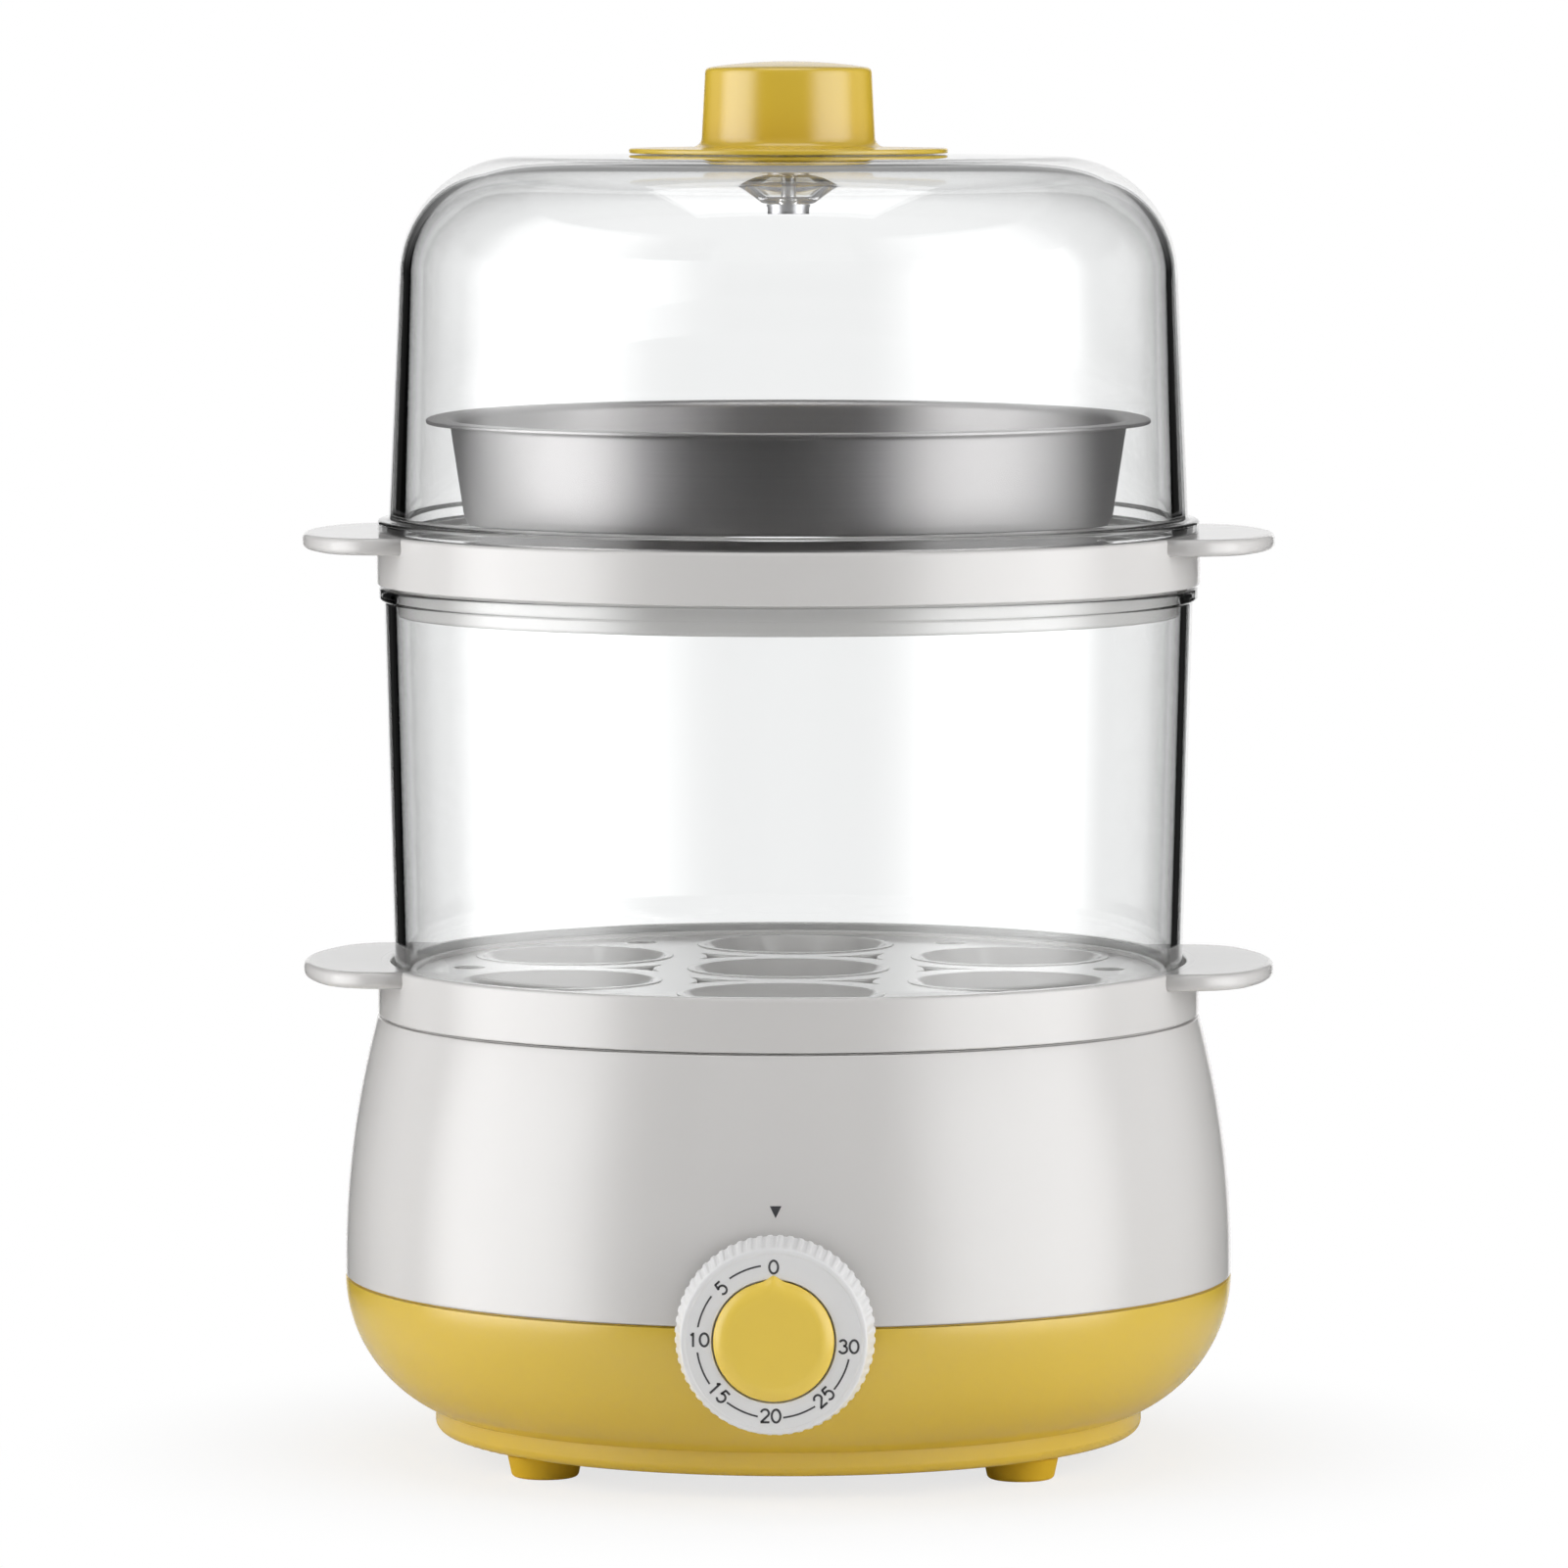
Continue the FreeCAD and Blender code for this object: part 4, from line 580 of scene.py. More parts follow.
def tint_node(tree, colour, shift):
    """The colour made lighter or darker by a factor of 1 + shift."""
    node = tree.nodes.new("ShaderNodeVectorMath")
    node.operation = "SCALE"
    tree.links.new(colour, node.inputs[0])
    tree.links.new(math_node(tree, "ADD", shift, 1.0), node.inputs["Scale"])
    return node.outputs[0]


def bump_node(tree, height, strength):
    """Normal of a skin with a height between 0 and BUMP_DEPTH."""
    node = tree.nodes.new("ShaderNodeBump")
    node.inputs["Distance"].default_value = BUMP_DEPTH
    tree.links.new(height, node.inputs["Height"])
    tree.links.new(strength, node.inputs["Strength"])
    return node.outputs["Normal"]


def moulded_skin_group():
    """Moulded plastic: soft mottling of the colour, uneven gloss and a fine skin."""
    group, given, made = new_group("moulded_skin", (
        ("Colour", "Color", (0.8, 0.8, 0.8, 1.0)), ("Mottle", "Float", 0.03), ("Gloss", "Float", 0.25),
        ("Gloss spread", "Float", 0.06), ("Skin scale", "Float", 900.0), ("Skin", "Float", 0.05)))
    place = object_place(group)
    cloud = centred(group, noise_node(group, place, CLOUD_SCALE, 3.0))
    shift = math_node(group, "MULTIPLY", cloud, given["Mottle"])
    group.links.new(tint_node(group, given["Colour"], shift), made["Colour"])
    patch = centred(group, noise_node(group, place, PATCH_SCALE, 4.0, 0.65))
    spread = math_node(group, "MULTIPLY", patch, given["Gloss spread"])
    group.links.new(math_node(group, "ADD", given["Gloss"], spread), made["Roughness"])
    grain = noise_node(group, place, given["Skin scale"])
    group.links.new(bump_node(group, grain, given["Skin"]), made["Normal"])
    return group


def spun_marks_group():
    """Turned or drawn metal: fine rings about the upright axis, from noise over radius and height alone."""
    group, given, made = new_group("spun_marks", (
        ("Colour", "Color", (0.6, 0.6, 0.6, 1.0)), ("Ring scale", "Float", 1500.0),
        ("Gloss", "Float", 0.28), ("Gloss spread", "Float", 0.12), ("Marks", "Float", 0.1)))
    place = object_place(group)
    parts = group.nodes.new("ShaderNodeSeparateXYZ")
    group.links.new(place, parts.inputs[0])
    squares = [math_node(group, "POWER", math_node(group, "ABSOLUTE", parts.outputs[k]), 2.0) for k in (0, 1)]
    ring = group.nodes.new("ShaderNodeCombineXYZ")
    group.links.new(math_node(group, "SQRT", math_node(group, "ADD", *squares)), ring.inputs[0])
    group.links.new(parts.outputs[2], ring.inputs[1])
    lines = noise_node(group, ring.outputs[0], given["Ring scale"], 3.0, 0.6)
    mark = centred(group, lines)
    cloud = centred(group, noise_node(group, place, METAL_CLOUD_SCALE, 3.0))
    spread = math_node(group, "MULTIPLY", math_node(group, "ADD", mark, cloud), given["Gloss spread"])
    group.links.new(math_node(group, "ADD", given["Gloss"], spread), made["Roughness"])
    shift = math_node(group, "MULTIPLY", mark, RING_TINT)
    group.links.new(tint_node(group, given["Colour"], shift), made["Colour"])
    group.links.new(bump_node(group, lines, given["Marks"]), made["Normal"])
    return group


def blank_finish(name):
    """A material with nothing but its output; gives the material, its nodes and the Surface socket."""
    finish = bpy.data.materials.new(name)
    finish.use_nodes = True
    tree = finish.node_tree
    tree.nodes.clear()
    return finish, tree, tree.nodes.new("ShaderNodeOutputMaterial").inputs["Surface"]


def mix_node(tree, share, first, second):
    """Two shaders mixed by the share of the second."""
    node = tree.nodes.new("ShaderNodeMixShader")
    for source, socket in zip((share, first, second), node.inputs):
        tree.links.new(source, socket)
    return node.outputs[0]


def glow_node(tree, strength):
    """White light of a strength, where 1 is plain white."""
    node = tree.nodes.new("ShaderNodeEmission")
    feed(tree, strength, node.inputs["Strength"])
    return node.outputs[0]


def grouped_finish(name, group, colour, plain, amount, values):
    """A finish whose colour, roughness and normal come from a group; one plain amount goes on the shader."""
    finish, tree, surface = blank_finish(name)
    shader = tree.nodes.new("ShaderNodeBsdfPrincipled")
    tree.links.new(shader.outputs[0], surface)
    skin = tree.nodes.new("ShaderNodeGroup")
    skin.node_tree = group
    skin.inputs["Colour"].default_value = (*colour, 1.0)
    for label, value in values.items():
        skin.inputs[label.replace("_", " ")].default_value = value
    for source, target in (("Colour", "Base Color"), ("Roughness", "Roughness"), ("Normal", "Normal")):
        tree.links.new(skin.outputs[source], shader.inputs[target])
    shader.inputs[plain].default_value = amount
    return finish


def moulding(name, colour, specular=0.5, **values):
    """Moulded plastic, rubber or ink."""
    return grouped_finish(name, SKIN, colour, "Specular IOR Level", specular, values)


def metal(name, colour, **values):
    """Turned or drawn metal."""
    return grouped_finish(name, MARKS, colour, "Metallic", 1.0, values)


def clear_finish(name):
    """Clear plastic: bent light with faintly uneven gloss; lamps shine through it."""
    finish, tree, surface = blank_finish(name)
    shader = tree.nodes.new("ShaderNodeBsdfPrincipled")
    shader.inputs["Base Color"].default_value = CLEAR_TINT
    shader.inputs["Metallic"].default_value = 0.0
    shader.inputs["Transmission Weight"].default_value = 1.0
    shader.inputs["IOR"].default_value = CLEAR_IOR
    haze = math_node(tree, "MULTIPLY", noise_node(tree, object_place(tree), HAZE_SCALE, 3.0), HAZE)
    tree.links.new(haze, shader.inputs["Roughness"])
    open_wall = tree.nodes.new("ShaderNodeBsdfTransparent")
    open_wall.inputs["Color"].default_value = CLEAR_SHADE
    soft = ray_of(tree, "Is Shadow Ray", "Is Diffuse Ray")
    tree.links.new(mix_node(tree, soft, shader.outputs[0], open_wall.outputs[0]), surface)
    return finish


def ray_of(tree, *kinds):
    """One where the ray is any of the named kinds."""
    path = tree.nodes.new("ShaderNodeLightPath")
    total = path.outputs[kinds[0]]
    for kind in kinds[1:]:
        total = math_node(tree, "MAXIMUM", total, path.outputs[kind])
    return total


SKIN = moulded_skin_group()
MARKS = spun_marks_group()
FINISHES = {
    "white_plastic": moulding("white_moulding", (0.695, 0.682, 0.672), 0.75,
                              Gloss=0.12, Gloss_spread=0.04, Mottle=0.025, Skin=0.02),
    "yellow_plastic": moulding("yellow_moulding", (0.74, 0.515, 0.055), 0.8,
                               Gloss=0.18, Gloss_spread=0.05, Mottle=0.05, Skin=0.03),
    "grey_plastic": moulding("dial_moulding", (0.83, 0.83, 0.835), Gloss=0.34, Skin=0.05),
    "black_plastic": moulding("black_moulding", (0.025, 0.025, 0.027), Gloss=0.5, Skin=0.15),
    "yellow_rubber": moulding("foot_rubber", (0.68, 0.44, 0.03), 0.1, Gloss=0.6, Mottle=0.08, Skin=0.2),
    "silicone": moulding("seal_silicone", (0.66, 0.66, 0.64), Gloss=0.5, Skin=0.1),
    "wire_sleeve": moulding("wire_sleeve", (0.68, 0.68, 0.65), Gloss=0.45, Skin=0.1),
    "clear_plastic": clear_finish("clear_moulding"),
    "stainless": metal("drawn_steel", (0.355, 0.345, 0.347), Gloss=0.47, Gloss_spread=0.01, Marks=0.0),
    "steel": metal("plated_steel", (0.50, 0.50, 0.52), Gloss=0.35),
    "aluminium": metal("cast_aluminium", (0.62, 0.63, 0.64), Gloss=0.45),
    "brass": metal("brass", (0.62, 0.44, 0.16), Gloss=0.3),
}
# Lighter copy of the yellow moulding for the dial cap: painted light, standing in for the brighter light that
# falls on the forward-facing cap.
CAP_PAINTED_LIGHT_FINISH = moulding("cap_moulding", (0.90, 0.65, 0.105),
                      Gloss=0.25, Gloss_spread=0.05, Mottle=0.04, Skin=0.03)
INK_FINISH = moulding("printed_ink", (0.045, 0.045, 0.05), Gloss=0.45, Mottle=0.2)

SLOT_OF = {row["node"]: row["material_slot"] for row in frame["record"]["subparts"]}
for node, item in frame["nodes"].items():
    item.data.materials.clear()
    item.data.materials.append(FINISHES[SLOT_OF[node]])


def dressed(name, node, surface, body):
    """A piece that stands for one node and takes that node's slot."""
    put(name, surface, FINISHES[SLOT_OF[node]], body, (node,))


# Base: housing, shell and feet.


def belly_radius(level):
    """Radius of the housing's outside at a level: upright at the seam, then one arc in to the rim."""
    start = SEAM + BELLY_FLAT
    inset = BELLY_R - RIM_R
    radius = (inset ** 2 + (RIM - start) ** 2) / (2 * inset)
    rise = np.maximum(np.asarray(level, float) - start, 0)
    return BELLY_R - radius + np.sqrt(radius ** 2 - rise ** 2)


def upper_housing():
    """White housing: belly wall, rim, well and shelf, with a shadow gap at the seam."""
    shelf = RIM - WELL_DEPTH
    under = shelf - SHELF_WALL
    outer = np.linspace(SEAM + BELLY_FLAT, RIM - BELLY_STOP, 40)
    inner = np.linspace(under - SHELF_FREE, SEAM + BELLY_FLAT, 12)
    return turned(softened([
        (BELLY_R - SEAM_DEPTH, SEAM + SEAM_GAP, CRISP),
        (BELLY_R, SEAM + SEAM_GAP, EDGE),
        *corners_of(belly_radius(outer), outer),
        (RIM_R, RIM - SEAM_GAP, EDGE),
        (RIM_R - SEAM_DEPTH, RIM - SEAM_GAP, CRISP),
        (RIM_R - SEAM_DEPTH, RIM, CRISP),
        (WELL_R, RIM, SOFT),
        (WELL_R, shelf, BROAD),
        (PLATE_HOLE_R, shelf, EASED),
        (PLATE_HOLE_R, under, EASED),
        (RIM_R - SHELF_ROOT, under, BROAD),
        *corners_of(belly_radius(inner) - SHELL_WALL, inner),
        (BELLY_R - SHELL_WALL, SEAM, FINE),
        (BELLY_R - SEAM_DEPTH, SEAM, CRISP),
    ]))


def lower_shell():
    """Yellow shell: one arc from the plinth out to the belly."""
    foot = np.array([PLINTH_R + SHELL_STEP, SHELL_FOOT])
    top = np.array([BELLY_R, SEAM])
    chord = top - foot
    half = np.linalg.norm(chord) / 2
    normal = np.array([-chord[1], chord[0]]) / (2 * half)
    centre = (foot + top) / 2 + normal * math.sqrt(SHELL_CURVE ** 2 - half ** 2)
    start, stop = (math.degrees(math.atan2(*(end - centre)[::-1])) for end in (foot, top))
    outside = arc(centre, SHELL_CURVE, start + SHELL_OUTER_FREE[0], stop - SHELL_OUTER_FREE[1], 48)
    inside = arc(centre, SHELL_CURVE - SHELL_WALL,
                 stop - SHELL_INNER_FREE[1], start + SHELL_INNER_FREE[0], 24)
    return turned(softened([
        (*foot, EDGE),
        *corners_of(outside),
        (BELLY_R, SEAM - SEAM_GAP, EDGE),
        (BELLY_R - SEAM_DEPTH, SEAM - SEAM_GAP, CRISP),
        (BELLY_R - SEAM_DEPTH, SEAM, CRISP),
        (BELLY_R - SHELL_WALL, SEAM, CRISP),
        *corners_of(inside),
        (PLINTH_R - SHELL_ROOT, SHELL_FOOT + SHELL_WALL, SOFT),
        (LIP_R, SHELL_FOOT + SHELL_WALL, EASED),
        (LIP_R, SHELL_FOOT, FINE),
    ]))


def feet():
    """Four tapered pads with rounded soles."""
    section = softened([
        (0, 0, 0),
        (FOOT_FOOT_R, 0, FOOT_SOLE),
        (FOOT_TOP_R, FOOT_HEIGHT, SOFT),
        (0, FOOT_HEIGHT, 0),
    ], closed=False)
    pad = turned(section, FOOT_TURNS, closed=False)
    return together([moved(pad, x, y) for x in (-FOOT_X, FOOT_X) for y in (-FOOT_Y, FOOT_Y)])


dressed("housing_moulding", "upper_housing", upper_housing(), "base")
dressed("shell_moulding", "lower_shell", lower_shell(), "base")
dressed("foot_pads", "feet", feet(), "base")

# Egg trays.

SEATS = [(0.0, 0.0)] + [tuple(about((SEAT_PITCH, 0), 30 + 60 * i)) for i in range(6)]


def tray_ring(gap):
    """Ring, groove, skirt and collar of a tray, a gap above Z = 0, where the piece below ends."""
    ring_in = RIM_R - RING_WALL
    skirt_in = SKIRT_R - SKIRT_WALL
    collar_in = COLLAR_R - COLLAR_WALL
    web = GROOVE_FLOOR - GROOVE_WEB
    return turned(softened([
        (skirt_in, -SKIRT_DEPTH, SMOOTH),
        (SKIRT_R, -SKIRT_DEPTH, SMOOTH),
        (SKIRT_R, web, SLIGHT),
        (ring_in, web, SLIGHT),
        (ring_in, gap, SLIGHT),
        (RIM_R, gap, EDGE),
        (RIM_R, RING_HEIGHT, BROAD),
        (ring_in, RING_HEIGHT, SOFT),
        (ring_in, GROOVE_FLOOR, FINE),
        (COLLAR_R, GROOVE_FLOOR, FINE),
        (COLLAR_R, FLOOR_LEVEL + COLLAR_LIP, FULL),
        (collar_in, FLOOR_LEVEL + COLLAR_LIP, FULL),
        (collar_in, web, SLIGHT),
        (skirt_in, web, SLIGHT),
    ]))


def tray_seat():
    """Egg seat: a cone with a rounded rim and a hole, at the middle of the tray."""
    floor = FLOOR_LEVEL - SEAT_DEPTH
    rim = FLOOR_LEVEL + SEAT_RIM
    return turned(softened([
        (SEAT_HOLE_R, floor, SOFT),
        (SEAT_HOLE_R + SEAT_WALL, floor, SOFT),
        (SEAT_R + SEAT_WALL, FLOOR_LEVEL - SEAT_STEP, EASED),
        (SEAT_R + SEAT_WALL, rim, SMOOTH),
        (SEAT_R, rim, SEAT_ROUND),
    ]), SEAT_TURNS)


def tray_tab():
    """Finger tab at +X: a lobe with a wide tip arc and two corner arcs, rooted in the ring wall."""
    tip_x = TAB_REACH - TAB_TIP
    lean = math.degrees(math.asin((TAB_HALF - TAB_CORNER) / (TAB_TIP - TAB_CORNER)))
    flank_x = tip_x + (TAB_TIP - TAB_CORNER) * math.cos(math.radians(lean))
    root_r = RIM_R - TAB_ROOT
    root = math.degrees(math.asin(TAB_HALF / root_r))
    plan = np.vstack((
        arc((flank_x, -TAB_HALF + TAB_CORNER), TAB_CORNER, -90, -lean, 14)[:-1],
        arc((tip_x, 0), TAB_TIP, -lean, lean, 24)[:-1],
        arc((flank_x, TAB_HALF - TAB_CORNER), TAB_CORNER, lean, 90, 14),
        arc((0, 0), root_r, root, -root, 20),
    ))
    return plate([plan], RING_HEIGHT - TAB_HEIGHT, RING_HEIGHT - TAB_DROP, TAB_ROUND)


def circle(centre, radius, count):
    """A full loop of points round a centre."""
    return arc(centre, radius, 0, 360, count)[:-1]


def tray_floor():
    """Floor plate with its holes: seats, vents with three hollow sides, and drain holes."""
    loops = [circle((0, 0), COLLAR_R - COLLAR_WALL + FLOOR_LAP, 180)]
    loops += [circle(seat, SEAT_R + SEAT_WALL - SEAT_LAP, 72) for seat in SEATS]
    half = VENT_REACH * math.sqrt(3) / 2
    bulge = math.degrees(math.asin(half / VENT_CURVE))
    offset = VENT_REACH / 2 + VENT_CURVE * math.cos(math.radians(bulge))
    side = arc((-offset, 0), VENT_CURVE, bulge, -bulge, 10)[:-1]
    vent = np.vstack([about(side, 120 * k) for k in range(3)]) + np.array([SEAT_PITCH / math.sqrt(3), 0])
    drain = circle((VENT_HOLE_PITCH, 0), VENT_HOLE_R, 32)
    loops += [about(hole, 60 * i) for i in range(6) for hole in (vent, drain)]
    return plate(loops, FLOOR_LEVEL - FLOOR_WALL, FLOOR_LEVEL, FLOOR_EDGE)


def egg_tray(node, level, body, gap):
    """One tray in its four kinds of piece: ring, two tabs, seven seats and the floor."""
    tab = tray_tab()
    seat = tray_seat()
    kinds = {
        "ring": tray_ring(gap),
        "tabs": together([tab, spun(tab, 180)]),
        "seats": together([moved(seat, *spot) for spot in SEATS]),
        "floor": tray_floor(),
    }
    for kind, surface in kinds.items():
        dressed(node + "_" + kind, node, moved(surface, z=level), body)


egg_tray("lower_egg_tray", RIM, "lower_tray", SEAM_GAP)
egg_tray("upper_egg_tray", UPPER_TOP - RING_HEIGHT, "upper_tray", LIP_GAP)

# Clear tier, lid, bowl and knob.


def clear_tier():
    """Slightly conical tube with an outward lip."""
    lip = TIER_TOP - TIER_LIP_HEIGHT
    return turned(softened([
        (TIER_FOOT_R - CLEAR_WALL, TIER_FOOT, SOFT),
        (TIER_FOOT_R, TIER_FOOT, SOFT),
        (TIER_TOP_R, lip, SOFT),
        (TIER_LIP_R, lip, SOFT),
        (TIER_LIP_R, TIER_TOP, FULL),
        (TIER_TOP_R - CLEAR_WALL, TIER_TOP, FULL),
    ]))


def lid_dome():
    """Dome wall, shoulder arc, low crown and the dimple that takes the knob's screw."""
    flange = LID_FOOT + SPIGOT_HEIGHT
    brim = flange + LID_FLANGE_HEIGHT
    crown_r = SHOULDER_R - SHOULDER_CURVE
    middle = (crown_r, LID_TOP - CROWN_RISE - SHOULDER_CURVE)
    outer = arc(middle, SHOULDER_CURVE, 0, SHOULDER_TURN, 40)
    inner = arc(middle, SHOULDER_CURVE - CLEAR_WALL, SHOULDER_TURN, 0, 40)
    crown = np.linspace(crown_r - CROWN_START, DIMPLE_TOP_R + CROWN_STOP, 16)
    rise = LID_TOP - CROWN_RISE * (crown / crown_r) ** 2
    bottom = LID_TOP - DIMPLE_DEPTH
    return turned(softened([
        (SPIGOT_R - CLEAR_WALL, LID_FOOT, FULL),
        (SPIGOT_R, LID_FOOT, FULL),
        (SPIGOT_R, flange, SLIGHT),
        (LID_FLANGE_R, flange, FULL),
        (LID_FLANGE_R, brim, SMOOTH),
        (DOME_FOOT_R, brim, BROAD),
        *corners_of(outer),
        *corners_of(crown, rise),
        (DIMPLE_TOP_R, LID_TOP, BROAD),
        (DIMPLE_FOOT_R, bottom, DIMPLE_ROUND),
        (DIMPLE_HOLE_R, bottom, FINE),
        (DIMPLE_HOLE_R, bottom - CLEAR_WALL, FINE),
        (DIMPLE_FOOT_R + DIMPLE_SPREAD, bottom - CLEAR_WALL, DIMPLE_UNDER),
        (DIMPLE_TOP_R + CLEAR_WALL, LID_TOP - CLEAR_WALL, DIMPLE_BROW),
        *corners_of(crown[::-1], (rise - CLEAR_WALL)[::-1])[1:],
        *corners_of(inner),
    ]))


def steam_bowl():
    """Drawn bowl: flat floor, rounded foot, leaning wall and a flat rim."""
    return turned(softened([
        (0, BOWL_FOOT, 0),
        (BOWL_FOOT_R, BOWL_FOOT, BOWL_ROUND),
        (BOWL_TOP_R, BOWL_TOP - BOWL_WALL, BOWL_BEND),
        (BOWL_RIM_R, BOWL_TOP - BOWL_WALL, SLIGHT),
        (BOWL_RIM_R, BOWL_TOP, SLIGHT),
        (BOWL_TOP_R - BOWL_WALL, BOWL_TOP, BOWL_BROW),
        (BOWL_FOOT_R - BOWL_WALL, BOWL_FOOT + BOWL_WALL, BOWL_ROUND - BOWL_WALL),
        (0, BOWL_FOOT + BOWL_WALL, 0),
    ], closed=False, steps=BOWL_STEPS), closed=False)


def lid_knob():
    """Hollow knob on its thin disc, with a flared foot and a rounded crown."""
    disc = LID_TOP + KNOB_PLATE_EDGE
    crest = LID_TOP + KNOB_HEIGHT
    crown_r = np.linspace(KNOB_TOP_R - KNOB_CROWN_INSET, 0, 16)
    crown = KNOB_TOP - KNOB_CROWN * (crown_r / KNOB_TOP_R) ** 2
    hollow = softened([
        (0, crest - KNOB_WALL, 0),
        (KNOB_TOP_R - KNOB_WALL, crest - KNOB_WALL, BROAD),
        (KNOB_FOOT_R - KNOB_WALL, LID_TOP, SLIGHT),
    ], closed=False)
    outside = softened([
        (KNOB_PLATE_R - KNOB_PLATE_FLAT, LID_TOP, FINE),
        (KNOB_PLATE_R, LID_TOP, SLIGHT),
        (KNOB_PLATE_R, disc, EASED),
        (KNOB_FOOT_R, disc + KNOB_PLATE_RISE, KNOB_FILLET),
        (KNOB_TOP_R, crest - KNOB_DROP, KNOB_ROUND),
        *corners_of(crown_r, crown),
    ], closed=False)
    return turned(np.vstack((hollow, outside)), closed=False)


dressed("clear_tier_wall", "clear_tier", clear_tier(), "tier")
dressed("lid_dome_wall", "lid_dome", lid_dome(), "lid")
dressed("bowl_drawing", "steam_bowl", steam_bowl(), "bowl")
dressed("knob_moulding", "lid_knob", lid_knob(), "lid")

# Timer dial.


def dial_ring():
    """Ring with a toothed skirt: r(a, s) = section radius less a tooth gap that fades towards the face."""
    face = DIAL_DEPTH - DIAL_SINK
    web_top = DIAL_DEPTH - DIAL_WEB_TOP
    web_foot = DIAL_DEPTH - DIAL_WEB_FOOT
    section = softened([
        (DIAL_R - DIAL_WALL, 0, FINE),
        (DIAL_R, 0, EASED),
        (DIAL_R, DIAL_RIM, SOFT),
        (DIAL_FACE_R + DIAL_LEAN, DIAL_DEPTH - DIAL_BEVEL, BROAD),
        (DIAL_FACE_R, DIAL_DEPTH, SOFT),
        (DIAL_FACE_R - DIAL_BORDER, DIAL_DEPTH, FINE),
        (DIAL_FACE_R - DIAL_BORDER_FOOT, face, CRISP),
        (DIAL_HOLE_R, face, DIAL_HOLE_ROUND),
        (DIAL_HOLE_R, web_top, CRISP),
        (DIAL_BORE_R, web_top, CRISP),
        (DIAL_BORE_R, web_foot, CRISP),
        (DIAL_FACE_R - DIAL_WALL, web_foot, EASED),
    ])
    turns = TOOTH_STEPS * DIAL_TEETH
    angle = full_turn(turns)
    r, z = section[:, :1], section[:, 1:]
    inside = np.clip((r - DIAL_FACE_R + TOOTH_START) / TOOTH_BLEND, 0, 1)
    behind = np.clip((DIAL_DEPTH - TOOTH_END - z) / TOOTH_FADE, 0, 1)
    wave = np.clip(0.5 - TOOTH_FLANK * np.cos(DIAL_TEETH * angle), 0, 1)
    radius = r - DIAL_TOOTH * (inside * behind) * (1 - wave)
    return outward(rings(radius, z, angle), sheet_faces(len(section), turns, True, True))


def dial_cap():
    """Cap with a flat middle: its edge is a circle with a small nub, and falls away on an arc."""
    angle = full_turn(CAP_TURNS)
    bend = np.angle(np.exp(1j * (angle - np.pi / 2)))
    edge = CAP_R + CAP_NUB * np.exp(-np.abs(bend / CAP_NUB_ANGLE) ** CAP_NUB_POWER)
    flat = 1 - CAP_EDGE / CAP_R
    share = np.concatenate((np.linspace(0, flat, 8)[1:], np.linspace(flat, 1, 18)[1:], [1.0]))
    fall = np.maximum(share - flat, 0) * CAP_R
    drop = CAP_CURVE - np.sqrt(CAP_CURVE ** 2 - fall ** 2)
    level = DIAL_DEPTH + CAP_PROUD + drop[-1] - drop
    level[-1] = DIAL_DEPTH - CAP_SINK
    points = rings(share[:, None] * edge, level[:, None], angle)
    return poled(points, CAP_TURNS, DIAL_DEPTH + CAP_PROUD + drop[-1], level[-1])


def stroke(path, width):
    """Pen stroke on the dial's face: a flat bar of ink along a path, half its width on each hand."""
    level = DIAL_DEPTH - DIAL_SINK
    tangent = np.gradient(path, axis=0)
    tangent /= np.linalg.norm(tangent, axis=1, keepdims=True)
    side = np.column_stack((-tangent[:, 1], tangent[:, 0])) * width / 2
    edges = (path + side, path + side, path - side, path - side)
    levels = (level - INK, level + INK, level + INK, level - INK)
    bars = [np.column_stack((edge, np.full(len(path), z))) for edge, z in zip(edges, levels)]
    grid = np.stack(bars, axis=1)
    faces = sheet_faces(len(path), 4, False, True)
    last = 4 * (len(path) - 1)
    faces += [[3, 2, 1, 0], [last, last + 1, last + 2, last + 3]]
    return outward(grid.reshape(-1, 3), faces)


def run(*spots):
    """A straight pen line, finely divided."""
    a, b = (np.array(spot, float) for spot in spots)
    return a + (b - a) * np.linspace(0, 1, 6)[:, None]


# Pen lines of each figure, one unit tall with its middle at the origin.
FIGURES = {
    "0": [oval((0, 0), 0.29, 0.43, 90, 452, 48)],
    "1": [run((0, 0.48), (0, -0.48)), run((0.03, 0.44), (-0.16, 0.28))],
    "2": [oval((0, 0.19), 0.26, 0.25, 170, -35), run((0.225, 0.06), (-0.27, -0.42)),
          run((-0.3, -0.42), (0.3, -0.42))],
    "3": [oval((0, 0.22), 0.22, 0.21, 160, -80), oval((0, -0.19), 0.27, 0.25, 85, -160)],
    "5": [run((0.24, 0.42), (-0.16, 0.42)), run((-0.14, 0.45), (-0.2, 0.02)),
          oval((-0.01, -0.14), 0.28, 0.29, 138, -142)],
}


def dial_print():
    """Figures 0 to 30 and the arcs between them, on the face of the ring."""
    strokes = []
    for k, label in enumerate(LABELS):
        place = LABEL_START + LABEL_STEP * k
        middle = arc((0, 0), LABEL_R, place, place, 0)[0]
        for i, figure in enumerate(label):
            shift = np.array([(i - (len(label) - 1) / 2) * DIGIT_PITCH, 0])
            for path in FIGURES[figure]:
                strokes.append(stroke(about(path * DIGIT_HEIGHT + shift, LABEL_LEANS[k]) + middle, PEN))
        if k + 1 < len(LABELS):
            between = arc((0, 0), ARC_R, place + ARC_GAP, place + LABEL_STEP - ARC_GAP, 24)
            strokes.append(stroke(between, ARC_PEN))
    return on_dial(together(strokes))


